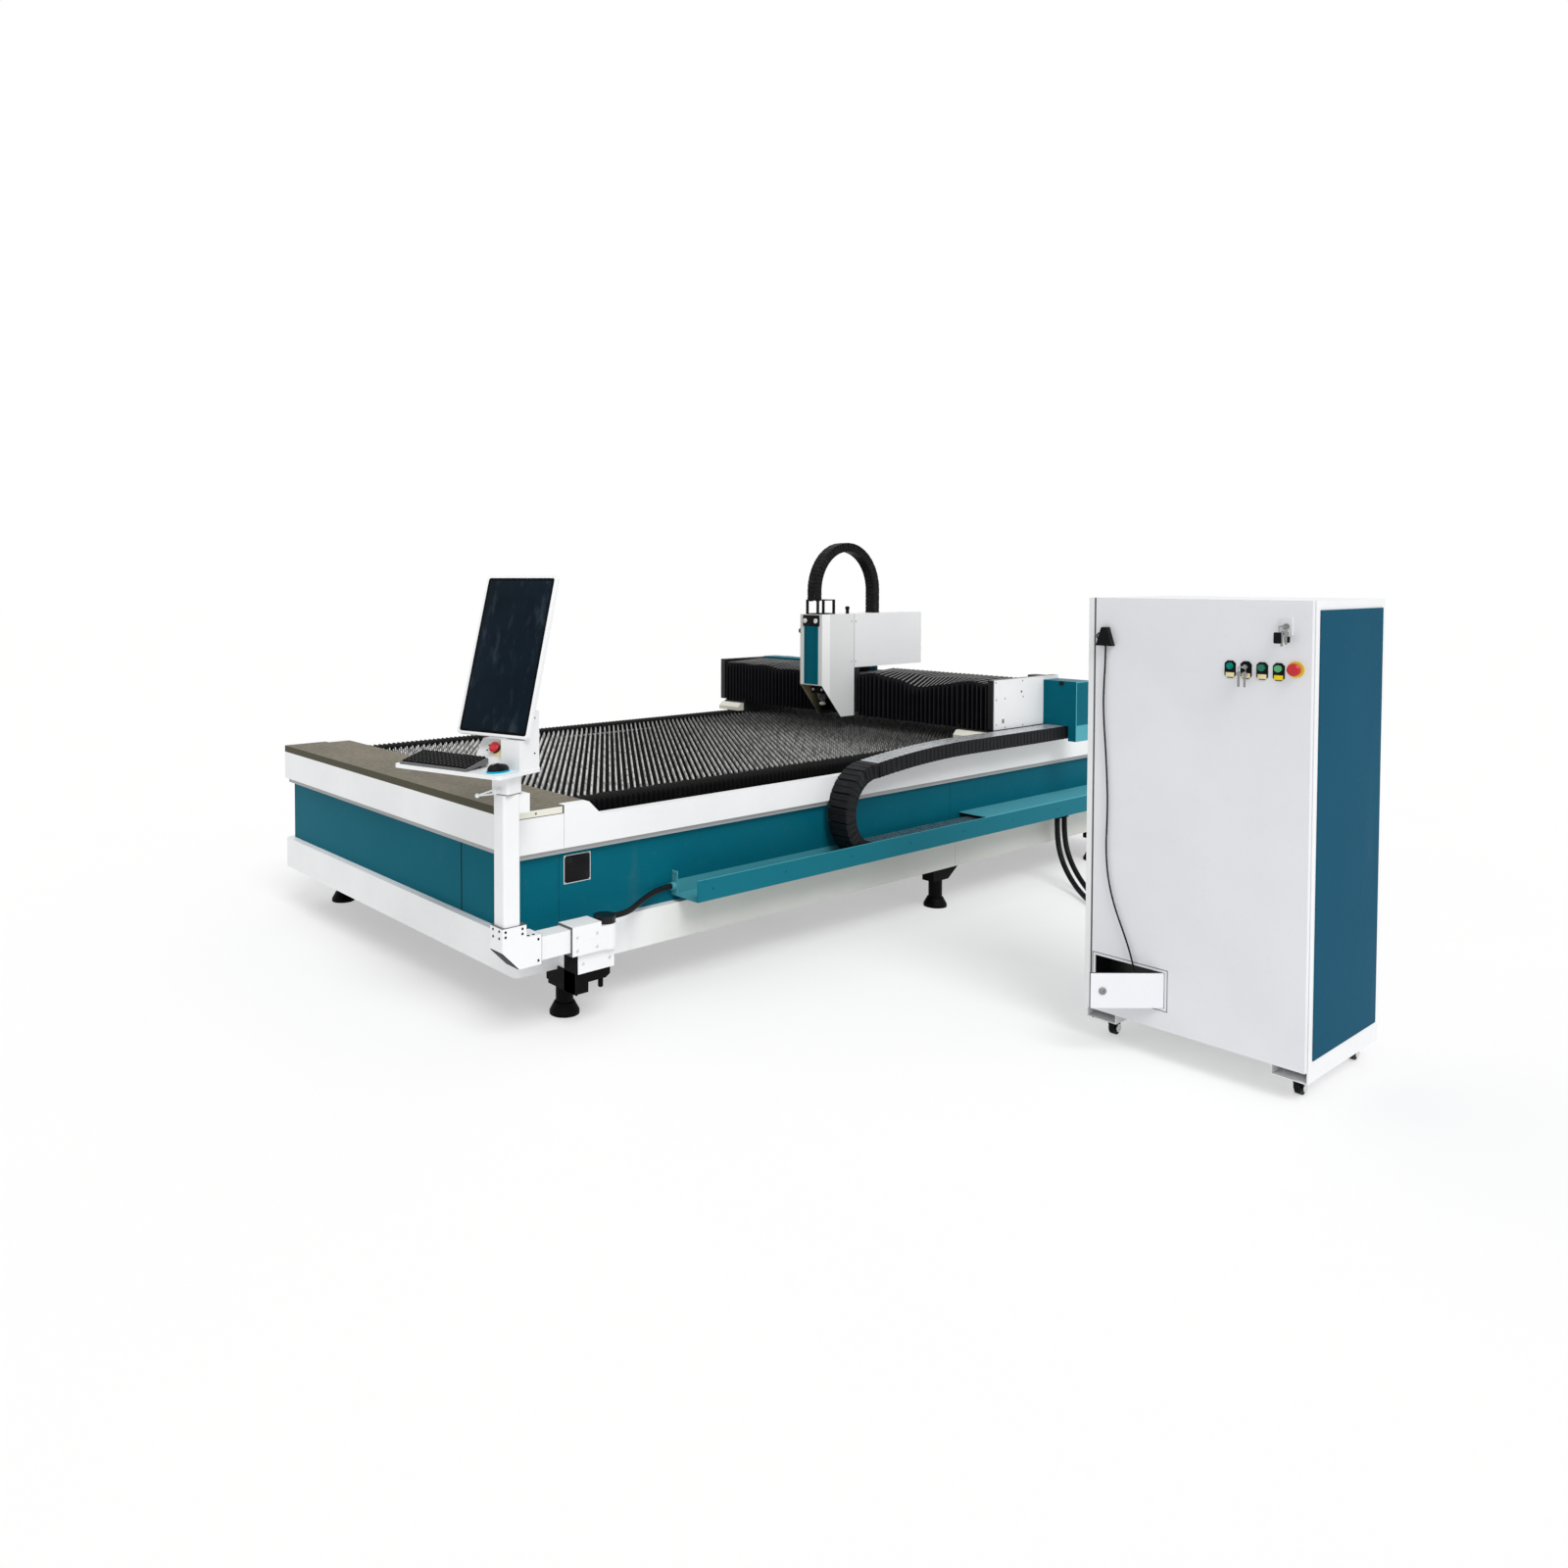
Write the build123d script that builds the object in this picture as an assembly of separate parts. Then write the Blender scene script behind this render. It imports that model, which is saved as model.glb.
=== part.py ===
from build123d import *
import math
import os

os.makedirs("parts", exist_ok=True)

# Flatbed laser cutting machine with a moving gantry, a swing console and a cabinet on casters.
# Drawn from the bed's front right corner on the floor: X to the rear, Y to the left, Z up.
# The saved pieces are moved so that the front right levelling foot stands on the origin.

# Bed
bed_length = 4500.0
bed_width = 2140.0
skirt_bottom = 210.0
skirt_height = 146.0
panel_height = 281.0
reveal_height = 22.0
band_height = 132.0
ledge_thickness = 31.0
ledge_depth = 335.0
side_step = 54.0
step_start = 334.0
step_run = 56.0
cover_depth = 40.0
panel_inset = 35.0
reveal_inset = 15.0
cover_sheet = 3.0
skirt_corner = 25.0
seam = 2.0
corner_seam_x = 216.0
side_seam_x = 2643.0
front_seam_y = 445.0

# Welded frame
beam_width = 200.0
beam_bottom = 300.0
beam_top = 720.0
beam_wall = 10.0
cross_width = 100.0
cross_bottom = 420.0
cross_height = 140.0
cross_count = 4
cross_first_x = 700.0
cross_step_x = 950.0
rear_beam_depth = 120.0
deck_thickness = 4.0
deck_gap = 12.0

# Legs and levelling feet
foot_x = 274.0
foot_y = 80.0
middle_foot_x = 2589.0
leg_bottom = 136.0
leg_width = 120.0
leg_depth = 70.0
leg_wing = 175.0
leg_heel = 62.0
leg_wing_edge = 85.0
pad_radius = 58.0
pad_edge = 13.0
pad_crown_radius = 40.0
pad_crown_top = 46.0
stem_radius = 34.0

# Slats and their supports
slat_first_x = 372.0
slat_pitch = 33.0
slat_count = 102
slat_thickness = 4.0
slat_bottom = 690.0
slat_top = 800.0
slat_teeth = 3
tooth_height = 40.0
slat_end_gap = 22.0
support_thickness = 10.0
support_count = 4
support_margin = 18.0
support_lead = 12.0

# X rails and racks
rail_width = 30.0
rail_height = 30.0
rail_waist = 5.0
rail_offset = 110.0
rail_start_x = 360.0
rail_end_gap = 70.0
rack_width = 30.0
rack_height = 34.0
rack_offset = 18.0

# Chain tray on the right side
tray_start_x = 777.0
tray_rear_gap = 200.0
tray_outer_y = -126.0
tray_floor_z = 380.0
tray_lip = 88.0
tray_back = 58.0
tray_sheet = 3.0
lid_start_x = 2720.0

# X drag chain
chain_width = 110.0
chain_height = 70.0
chain_pitch = 66.0
chain_notch = 6.0
chain_gap = 6.0
chain_bend_radius = 185.0
chain_sag = 44.0
chain_sag_x = 2620.0
chain_bend_x = 1900.0
chain_fixed_x = 2752.0
chain_moving_x = 3520.0
chain_edge_gap = 12.0
bend_links = 10
bend_relief = 1.0
bend_gap = 14.0

# Gantry
gantry_front_x = 3000.0
gantry_beam_x = 3090.0
gantry_beam_depth = 370.0
gantry_beam_bottom = 878.0
gantry_beam_top = 1095.0
gantry_wall = 12.0
beam_end_gap = 60.0
frame_plate = 36.0
frame_rear_right = 3620.0
frame_rear_left = 3480.0
frame_top = 1130.0
frame_bottom = 868.0
end_plate = 5.0
end_plate_rear = 3467.0
end_plate_slant = 120.0
saddle_bottom = 840.0
saddle_rear = 3620.0
saddle_recess = 32.0
block_length = 110.0
block_width = 70.0
block_bottom = 730.0
block_front_x = 3060.0
block_rear_x = 3330.0
slide_gap = 0.5
wiper_depth = 50.0
wiper_bottom = 805.0
wiper_top = 852.0
wiper_chamfer = 24.0
motor_side = 90.0
motor_height = 190.0
motor_x = 3540.0
gearbox_radius = 48.0
gearbox_height = 60.0

# Y rails and bellows
y_rail_depth = 28.0
y_rail_height = 30.0
y_rail_low = 925.0
y_rail_high = 1045.0
y_rack_z = 985.0
pleat_depth = 22.0
pleat_pitch = 40.0
bellows_sheet = 4.0
bellows_bottom = 862.0
bellows_top = 1125.0
bellows_rear = 3330.0

# Bellows over the X rails
x_bellows_outer = 45.0
x_bellows_inner = 80.0
x_bellows_top = 800.0
x_pleat_depth = 10.0
x_pleat_pitch = 120.0
closing_plate = 10.0
stop_thickness = 25.0

# Teal chain box on the gantry's right end
chain_box_outer_y = -172.0
chain_box_top = 1110.0
chain_box_sheet = 4.0
cheek_bottom = 786.0
cheek_thickness = 46.0

# Head carriage
head_y = 1037.0
housing_width = 168.0
housing_front_x = 2698.0
housing_rear_x = 2980.0
housing_top = 1460.0
housing_foot = 863.0
housing_slant_top = 1052.0
housing_foot_x = 2862.0
housing_sheet = 3.0
carriage_front_x = 2960.0
carriage_rear_x = 3030.0
carriage_bottom = 880.0
rear_box_bottom = 1145.0
rear_box_rear_x = 3605.0
rear_box_sheet = 4.0
carriage_block_width = 62.0
carriage_block_height = 52.0
carriage_block_rear_x = 3082.0
z_rail_depth = 25.0
z_rail_width = 30.0
z_rail_bottom = 900.0
z_motor_side = 80.0
z_motor_height = 170.0

# Cutting head on its Z slide
z_slide_thickness = 26.0
z_slide_width = 96.0
z_slide_bottom = 985.0
z_slide_top = 1110.0
z_slide_gap = 1.0
cutter_x = 2800.0
cutter_radius = 38.0
cutter_top = 1230.0
cutter_shoulder = 1010.0
cutter_neck_radius = 24.0
cutter_neck_bottom = 960.0
nozzle_radius = 14.0
nozzle_tip_radius = 4.0
nozzle_bottom = 925.0
bracket_width = 92.0
bracket_depth = 148.0
bracket_height = 85.0
bracket_bar = 12.0
bracket_plate = 6.0
bracket_gap = 3.0
stalk_width = 44.0

# Arched drag chain over the head
arch_front_x = 2726.0
arch_rear_x = 3240.0
arch_width = 64.0
arch_height = 54.0
arch_notch = 5.0
arch_gap = 8.0
arch_links = 16
arch_leg_rise = 48.0

# Console arm, hung on the bed's right side
hinge_x = 330.0
hinge_y = -100.0
bracket_front_x = 190.0
bracket_rear_x = 356.0
bracket_reach = 126.0
wall_bracket_bottom = 220.0
wall_bracket_top = 292.0
knuckle_top = 385.0
knuckle_radius = 46.0
pin_radius = 18.0
pin_clearance = 0.05
swing_gap = 0.5
arm_bottom = 312.0
arm_height = 84.0
arm_width = 72.0
arm_wall = 5.0
joint_front_x = 150.0
joint_bottom = 297.0
joint_top = 405.0
joint_width = 90.0
joint_gap = 6.0
elbow_rear_x = 20.0
elbow_front_x = -145.0
elbow_neck = 55.0
elbow_bottom = 300.0
elbow_shoulder = 408.0
elbow_top = 455.0
elbow_width = 80.0
elbow_chamfer = 70.0
post_x = -100.0
post_width = 70.0
post_top = 918.0
post_corner = 10.0
post_wall = 5.0
post_box_depth = 46.0
post_box_width = 48.0
post_box_height = 66.0
spigot_radius = 20.0
spigot_height = 60.0
collar_top = 985.0
collar_width = 78.0
collar_bore_gap = 0.05
lever_reach = 85.0
lever_radius = 6.0
lever_hub_length = 26.0
lever_hub_radius = 10.0
lever_pin_radius = 6.0
lever_pin_length = 14.0
lever_z = 934.0

# Console tray, box and screen, turned about the post
head_turn = 17.4
tray_left = 440.0
tray_right = 62.0
tray_front = 112.0
tray_back_edge = 122.0
tray_thickness = 14.0
tray_corner = 18.0
keyboard_length = 318.0
keyboard_depth = 112.0
keyboard_height = 14.0
keyboard_rise = 12.0
keyboard_left_gap = 26.0
keyboard_front_gap = 6.0
key_rows = 5
mouse_length = 96.0
mouse_width = 58.0
mouse_height = 30.0
mouse_crown = 0.5
mouse_pad_thickness = 3.0
mouse_pad_length = 104.0
mouse_pad_width = 96.0
neck_left = 32.0
neck_right = 52.0
neck_front = 8.0
neck_back = 118.0
neck_rise = 92.0
estop_box_left = 176.0
estop_box_front = 14.0
estop_box_height = 92.0
estop_slope = 35.0
screen_width = 330.0
screen_height = 598.0
screen_depth = 22.0
screen_lean = 17.0
screen_bottom = 1110.0
screen_front = 24.0
screen_centre = 92.0
screen_border = 5.0
screen_corner = 14.0
glass_thickness = 4.0

# Push buttons shaped as mushrooms
estop_head_radius = 20.0
estop_neck_radius = 11.0
estop_height = 24.0
estop_sink = 10.0
estop_offset = 62.0
estop_rise = 0.66
estop_travel = 6.0
estop_hole_gap = 0.3

# Electrical cabinet on casters
cabinet_front_x = 1620.0
cabinet_left_y = -1295.0
cabinet_width = 745.0
cabinet_depth = 600.0
cabinet_bottom = 112.0
cabinet_top = 1602.0
cabinet_wall = 3.0
door_thickness = 20.0
door_gap = 2.0
stile_width = 25.0
plate_gap = 40.0
plate_thickness = 5.0
side_panel_thickness = 4.0
side_panel_margin = 30.0
channel_height = 40.0
channel_width = 110.0

# Door controls, measured from the door's left edge and the floor
control_z = 1385.0
lamp_offset = 470.0
control_step = 50.0
control_radius = 11.0
control_bezel = 15.0
control_bezel_height = 4.0
button_height = 11.0
button_travel = 4.0
button_gap = 0.3
lock_offset = 642.0
lock_z = 1520.0
lock_plate_width = 34.0
lock_plate_height = 56.0
lock_plate_depth = 6.0
lock_radius = 9.0
key_length = 30.0
key_width = 22.0
key_thickness = 3.0

# Flap, pocket and cord on the door
flap_left = 12.0
flap_width = 255.0
flap_bottom = 188.0
flap_height = 124.0
flap_depth = 10.0
flap_sheet = 2.0
flap_gap = 2.0
flap_angle = 51.0
pocket_depth = 110.0
pocket_sheet = 2.0
clip_width = 60.0
clip_height = 66.0
clip_depth = 24.0
clip_left = 12.0
clip_bottom = 1432.0
cord_radius = 3.0
socket_size = 24.0
socket_depth = 16.0
cord_end_offset = 168.0
cord_end_z = 247.0

# Casters
wheel_radius = 25.0
wheel_width = 20.0
axle_radius = 4.0
axle_clearance = 0.05
fork_gap = 2.0
fork_cheek = 4.0
fork_plate = 5.0
swivel_radius = 22.0
stem_length = 18.0
swivel_gap = 0.5
swivel_trail = 18.0
caster_inset_x = 72.0
caster_inset_y = 56.0
caster_stem_radius = 6.0

# Conduit from the console bracket, cables from the tray to the cabinet
conduit_radius = 11.0
conduit_end_z = 421.0
conduit_lead = 44.0
cap_radius = 42.0
cap_height = 26.0
boss_length = 8.0
boss_radius = 12.0
tab_thickness = 5.0
tab_width = 32.0
tab_top = 482.0
gland_radius = 16.0
gland_length = 20.0
cord_sides = 6
cable_radius = 14.0
cable_drop = 105.0
cable_lead = 95.0
cable_gland_radius = 22.0
cable_gland_length = 24.0
cable_start_x = 3480.0
cable_start_y = -62.0
cable_step_x = 70.0
cable_step_y = 80.0
cable_offset = 205.0
cable_entry_z = 250.0

# Heights and places that follow
skirt_top = skirt_bottom + skirt_height
panel_top = skirt_top + panel_height
band_bottom = panel_top + reveal_height
band_top = band_bottom + band_height
ledge_top = band_top + ledge_thickness
side_top = ledge_top - side_step
mid_y = bed_width / 2
frame_left_y = bed_width - cover_depth
front_beam_rear = ledge_depth
frame_rear_x = bed_length - cover_depth
inner_right_y = cover_depth + beam_width
inner_left_y = bed_width - inner_right_y
rail_y = cover_depth + rail_offset
tray_inner_y = panel_inset
chain_floor = tray_floor_z + tray_sheet
chain_outer_y = tray_outer_y + tray_sheet + chain_edge_gap
chain_inner_y = chain_outer_y + chain_width
chain_low_z = chain_floor + chain_height / 2
chain_high_z = chain_low_z + 2 * chain_bend_radius + chain_sag
chain_top = chain_high_z + chain_height / 2
beam_left_y = bed_width - beam_end_gap
beam_front = gantry_beam_x
beam_rear = gantry_beam_x + gantry_beam_depth
housing_right = head_y - housing_width / 2
housing_left = head_y + housing_width / 2
bracket_top = housing_top + bracket_height
arch_leg_z = bracket_top + arch_leg_rise
post_y = hinge_y
tray_z = collar_top
tray_top = tray_z + tray_thickness
cabinet_right_y = cabinet_left_y - cabinet_width
cabinet_rear_x = cabinet_front_x + cabinet_depth
door_left_y = cabinet_left_y - stile_width - door_gap
door_right_y = cabinet_right_y + door_gap
door_back_x = cabinet_front_x + door_thickness


def block(x0, x1, y0, y1, z0, z1):
    """Solid between two corners."""
    return Pos((x0 + x1) / 2, (y0 + y1) / 2, (z0 + z1) / 2) * Box(x1 - x0, y1 - y0, z1 - z0)


def across(points, y0, y1):
    """Outline in X and Z, drawn out along Y."""
    face = Plane(origin=(0, y1, 0), x_dir=(1, 0, 0), z_dir=(0, -1, 0)) * Polygon(*points, align=None)
    return extrude(face, amount=y1 - y0, dir=(0, -1, 0))


def along(points, x0, x1):
    """Outline in Y and Z, drawn out along X."""
    face = Plane(origin=(x0, 0, 0), x_dir=(0, 1, 0), z_dir=(1, 0, 0)) * Polygon(*points, align=None)
    return extrude(face, amount=x1 - x0, dir=(1, 0, 0))


def upward(points, z0, z1):
    """Outline in X and Y, drawn up along Z."""
    face = Plane(origin=(0, 0, z0)) * Polygon(*points, align=None)
    return extrude(face, amount=z1 - z0, dir=(0, 0, 1))


def upright(x, y, z0, z1, radius):
    """Upright cylinder."""
    return Pos(x, y, (z0 + z1) / 2) * Cylinder(radius, z1 - z0)


def level_x(x0, x1, y, z, radius):
    """Cylinder lying along X."""
    return Pos((x0 + x1) / 2, y, z) * Rot(0, 90, 0) * Cylinder(radius, x1 - x0)


def level_y(x, y0, y1, z, radius):
    """Cylinder lying along Y."""
    return Pos(x, (y0 + y1) / 2, z) * Rot(90, 0, 0) * Cylinder(radius, y1 - y0)


def tube_x(x0, x1, y0, y1, z0, z1, wall):
    """Rectangular tube along X."""
    return block(x0, x1, y0, y1, z0, z1) - block(x0, x1, y0 + wall, y1 - wall, z0 + wall, z1 - wall)


def tube_y(x0, x1, y0, y1, z0, z1, wall):
    """Rectangular tube along Y."""
    return block(x0, x1, y0, y1, z0, z1) - block(x0 + wall, x1 - wall, y0, y1, z0 + wall, z1 - wall)


def tube_z(x0, x1, y0, y1, z0, z1, wall):
    """Rectangular tube along Z."""
    return block(x0, x1, y0, y1, z0, z1) - block(x0 + wall, x1 - wall, y0 + wall, y1 - wall, z0, z1)


def pan(x0, x1, y0, y1, z0, z1, back):
    """Folded sheet cover with returned edges, open at its back."""
    s = cover_sheet
    inner = dict(x0=x0 + s, x1=x1 - s, y0=y0 + s, y1=y1 - s, z0=z0 + s, z1=z1 - s)
    inner[back] = dict(x0=x0, x1=x1, y0=y0, y1=y1)[back]
    return block(x0, x1, y0, y1, z0, z1) - block(**inner)


def other_side(shape):
    """Copy on the other side of the bed's middle plane."""
    return mirror(shape, about=Plane(origin=(0, mid_y, 0), z_dir=(0, 1, 0)))


def save(name, *shapes):
    """Writes one node, moved so that the reference foot is at the origin."""
    solids = []
    for shape in shapes:
        solids.extend(shape.solids())
    moved = [Pos(-foot_x, -foot_y, 0) * solid for solid in solids]
    whole = moved[0] if len(moved) == 1 else Compound(children=moved)
    export_step(whole, f"parts/{name}.step")


# Welded frame: two box beams under the rails, a deep front beam under the ledge and cross beams
right_beam = tube_x(front_beam_rear, frame_rear_x, cover_depth, inner_right_y, beam_bottom,
                    beam_top, beam_wall)
save("bed_side_beams", right_beam, other_side(right_beam))

front_beam = tube_y(cover_depth, front_beam_rear, cover_depth, frame_left_y, beam_bottom, band_top, beam_wall)
rear_beam = tube_y(frame_rear_x - rear_beam_depth, frame_rear_x, inner_right_y,
                   inner_left_y, cross_bottom, beam_top, beam_wall)
cross_top = cross_bottom + cross_height
cross_beams = []
for i in range(cross_count):
    x = cross_first_x + i * cross_step_x
    cross_beams.append(tube_y(x, x + cross_width, inner_right_y, inner_left_y, cross_bottom,
                              cross_top, beam_wall))

# Ledge plate: full width at the front, between the stepped side covers behind the corner seam
ledge = upward([(0, 0), (corner_seam_x, 0), (corner_seam_x, cover_depth), (ledge_depth, cover_depth),
                (ledge_depth, frame_left_y), (corner_seam_x, frame_left_y), (corner_seam_x, bed_width),
                (0, bed_width)], band_top, ledge_top)
save("ledge_plate", ledge)


def side_cover():
    """Right upper cover, with its top stepped down behind the ledge, open at the back."""
    x0 = corner_seam_x + seam
    step_end = step_start + step_run
    s = cover_sheet
    outline = [(x0, band_bottom), (bed_length, band_bottom), (bed_length, side_top),
               (step_end, side_top), (step_start, ledge_top), (x0, ledge_top)]
    cut = s * math.tan(math.atan2(side_step, step_run) / 2)
    hollow = [(x0 + s, band_bottom + s), (bed_length - s, band_bottom + s),
              (bed_length - s, side_top - s), (step_end - cut, side_top - s),
              (step_start - cut, ledge_top - s), (x0 + s, ledge_top - s)]
    return across(outline, 0, cover_depth) - across(hollow, s, cover_depth)


front_band = pan(0, cover_depth, 0, bed_width, band_bottom, band_top, "x1")
corner_band = pan(cover_depth, corner_seam_x, 0, cover_depth, band_bottom, band_top, "y1")
rear_band = pan(frame_rear_x, bed_length, cover_depth, frame_left_y, band_bottom, side_top, "x0")
right_cover = side_cover()
save("upper_covers", front_band, corner_band, other_side(corner_band), right_cover,
     other_side(right_cover), rear_band)

# Grey strips between the white covers and the panels
front_reveal = block(reveal_inset, cover_depth, reveal_inset, bed_width - reveal_inset,
                     panel_top, band_bottom)
side_reveal = block(cover_depth, frame_rear_x, reveal_inset, cover_depth, panel_top, band_bottom)
rear_reveal = block(frame_rear_x, bed_length - reveal_inset, reveal_inset, bed_width - reveal_inset,
                    panel_top, band_bottom)
reveals = [front_reveal, side_reveal, other_side(side_reveal), rear_reveal]

# Panels set back from the covers, with narrow seams
panels = []
for y0, y1 in ((panel_inset, front_seam_y - seam / 2), (front_seam_y + seam / 2, bed_width - panel_inset)):
    panels.append(block(panel_inset, cover_depth, y0, y1, skirt_top, panel_top))
side_seams = [cover_depth, corner_seam_x, side_seam_x, frame_rear_x]
for x0, x1 in zip(side_seams[:-1], side_seams[1:]):
    first = x0 if x0 == cover_depth else x0 + seam / 2
    last = x1 if x1 == frame_rear_x else x1 - seam / 2
    side_panel = block(first, last, panel_inset, cover_depth, skirt_top, panel_top)
    panels += [side_panel, other_side(side_panel)]
panels.append(block(frame_rear_x, bed_length - panel_inset, panel_inset, bed_width - panel_inset,
                    skirt_top, panel_top))
save("bed_panels", *panels, *reveals)

# Skirts: the front one turns the corners with a radius
front_skirt = block(0, cover_depth, 0, bed_width, skirt_bottom, skirt_top)
front_edges = front_skirt.edges().filter_by(Axis.Z).group_by(Axis.X)[0]
front_skirt = fillet(front_edges, skirt_corner)
front_skirt -= block(cover_sheet, cover_depth, skirt_corner, bed_width - skirt_corner,
                     skirt_bottom + cover_sheet, skirt_top - cover_sheet)
skirts = [front_skirt]
for x0, x1 in ((cover_depth, side_seam_x - seam / 2), (side_seam_x + seam / 2, bed_length)):
    side_skirt = pan(x0, x1, 0, cover_depth, skirt_bottom, skirt_top, "y1")
    skirts += [side_skirt, other_side(side_skirt)]
skirts.append(pan(frame_rear_x, bed_length, cover_depth, frame_left_y, skirt_bottom, skirt_top, "x0"))
save("skirts", *skirts)

# Legs with a wing to the rear, and screw feet under them
leg_outline = [(-leg_heel, beam_bottom), (leg_wing, beam_bottom), (leg_wing, beam_bottom - leg_wing_edge),
               (leg_width / 2, leg_bottom), (-leg_width / 2, leg_bottom),
               (-leg_heel, beam_bottom - leg_wing_edge)]
foot_profile = make_face(Polyline((0, 0), (pad_radius, 0), (pad_radius, pad_edge),
                                  (pad_crown_radius, pad_crown_top), (stem_radius, pad_crown_top),
                                  (stem_radius, leg_bottom), (0, leg_bottom), close=True))
screw_foot = revolve(Plane.XZ * foot_profile, Axis.Z)
legs = []
feet = []
for x in (foot_x, middle_foot_x, bed_length - foot_x - leg_wing + leg_heel):
    leg = Pos(x, 0, 0) * across(leg_outline, foot_y - leg_depth / 2, foot_y + leg_depth / 2)
    foot = Pos(x, foot_y, 0) * screw_foot
    legs += [leg, other_side(leg)]
    feet += [foot, other_side(foot)]
save("legs_and_feet", *legs, *feet)

# Slat supports stand on the cross beams, and toothed slats stand on the supports
support_first_y = inner_right_y + support_margin
support_step = (inner_left_y - support_margin - support_thickness - support_first_y) / (support_count - 1)
support_x0 = slat_first_x - support_lead
support_x1 = slat_first_x + (slat_count - 1) * slat_pitch + slat_thickness + support_lead
supports = []
for i in range(support_count):
    y = support_first_y + i * support_step
    supports.append(block(support_x0, support_x1, y, y + support_thickness, cross_top, slat_bottom))
deck = block(support_x1 + deck_gap, frame_rear_x, inner_right_y, inner_left_y, beam_top,
             beam_top + deck_thickness)
save("bed_cross_beams", front_beam, rear_beam, *cross_beams, *supports, deck)

slat_y0 = inner_right_y + slat_end_gap / 2
slat_y1 = inner_left_y - slat_end_gap / 2
tooth_step = (slat_y1 - slat_y0) / slat_teeth
slat_outline = [(slat_y0, slat_bottom)]
for i in range(slat_teeth):
    slat_outline.append((slat_y0 + i * tooth_step, slat_top - tooth_height))
    slat_outline.append((slat_y0 + (i + 0.5) * tooth_step, slat_top))
slat_outline += [(slat_y1, slat_top - tooth_height), (slat_y1, slat_bottom)]
slat = along(slat_outline, slat_first_x, slat_first_x + slat_thickness)
save("slats", *[Pos(i * slat_pitch, 0, 0) * slat for i in range(slat_count)])

# X rails with waisted sides, and racks beside them
rail_end_x = bed_length - rail_end_gap
rail_half = rail_width / 2
rail_outline = [(rail_y - rail_half, beam_top), (rail_y + rail_half, beam_top),
                (rail_y + rail_half - rail_waist, beam_top + rail_height * 0.4),
                (rail_y + rail_half, beam_top + rail_height * 0.7),
                (rail_y + rail_half, beam_top + rail_height),
                (rail_y - rail_half, beam_top + rail_height),
                (rail_y - rail_half, beam_top + rail_height * 0.7),
                (rail_y - rail_half + rail_waist, beam_top + rail_height * 0.4)]
rail = along(rail_outline, rail_start_x, rail_end_x)
rack_y = cover_depth + rack_offset
rack = block(rail_start_x, rail_end_x, rack_y, rack_y + rack_width, beam_top, beam_top + rack_height)
x_bellows_y0 = rail_y - x_bellows_outer
x_bellows_y1 = rail_y + x_bellows_inner
rail_stop = block(rail_end_x, rail_end_x + stop_thickness, x_bellows_y0, x_bellows_y1,
                  beam_top, x_bellows_top)
save("x_rails_and_racks", rail, other_side(rail), rack, other_side(rack), rail_stop, other_side(rail_stop))

# Chain tray: folded channel with a low back, a lid over its rear part and a tab at its front end
tray_rear_x = bed_length - tray_rear_gap
tray_outline = [(tray_outer_y, tray_floor_z), (tray_inner_y, tray_floor_z),
                (tray_inner_y, tray_floor_z + tray_back),
                (tray_inner_y - tray_sheet, tray_floor_z + tray_back),
                (tray_inner_y - tray_sheet, chain_floor), (tray_outer_y + tray_sheet, chain_floor),
                (tray_outer_y + tray_sheet, tray_floor_z + tray_lip),
                (tray_outer_y, tray_floor_z + tray_lip)]
tray = along(tray_outline, tray_start_x, tray_rear_x)
lid_z = tray_floor_z + tray_lip
lid = block(lid_start_x, tray_rear_x, tray_outer_y, tray_inner_y, lid_z, lid_z + tray_sheet)
tab = block(tray_start_x, tray_start_x + tab_thickness, tray_inner_y - tray_sheet - tab_width,
            tray_inner_y - tray_sheet, chain_floor, tab_top)
conduit_end_y = tray_inner_y - tray_sheet - gland_radius
conduit_gland = level_x(tray_start_x - gland_length, tray_start_x, conduit_end_y, conduit_end_z, gland_radius)
cable_drops = []
for i in range(2):
    x = cable_start_x + i * cable_step_x
    cable_drops.append(upright(x, cable_start_y, tray_floor_z - cable_gland_length,
                               tray_floor_z, cable_gland_radius))
save("chain_tray", tray + tab, lid, conduit_gland, *cable_drops)


def chain(stations, half_height, notch, gap, y0, y1):
    """Drag chain run through the stations: straight links with notched joints, as one solid."""
    outer, inner = [], []
    for i, ((xa, za), (xb, zb)) in enumerate(zip(stations[:-1], stations[1:])):
        length = math.hypot(xb - xa, zb - za)
        dx, dz = (xb - xa) / length, (zb - za) / length
        nx, nz = -dz, dx
        ends = ((xa + dx * gap / 2, za + dz * gap / 2), (xb - dx * gap / 2, zb - dz * gap / 2))
        for x, z in ends:
            outer.append((x + nx * half_height, z + nz * half_height))
            inner.append((x - nx * half_height, z - nz * half_height))
        if i < len(stations) - 2:
            xc, zc = stations[i + 2]
            turn = math.hypot(xc - xb, zc - zb)
            mx, mz = nx - (zc - zb) / turn, nz + (xc - xb) / turn
            size = math.hypot(mx, mz)
            depth = half_height - notch
            outer.append((xb + mx / size * depth, zb + mz / size * depth))
            inner.append((xb - mx / size * depth, zb - mz / size * depth))
    return across(outer + inner[::-1], y0, y1)


def run(x0, x1, z, pitch):
    """Stations of a straight run with whole links."""
    count = max(2, round((x1 - x0) / pitch))
    return [(x0 + (x1 - x0) * i / count, z) for i in range(count + 1)]


def bow(x, z, radius, first, last, count):
    """Stations on an arc, from the first angle to the last."""
    angles = [math.radians(first + (last - first) * i / count) for i in range(count + 1)]
    return [(x + radius * math.cos(a), z + radius * math.sin(a)) for a in angles]


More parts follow.
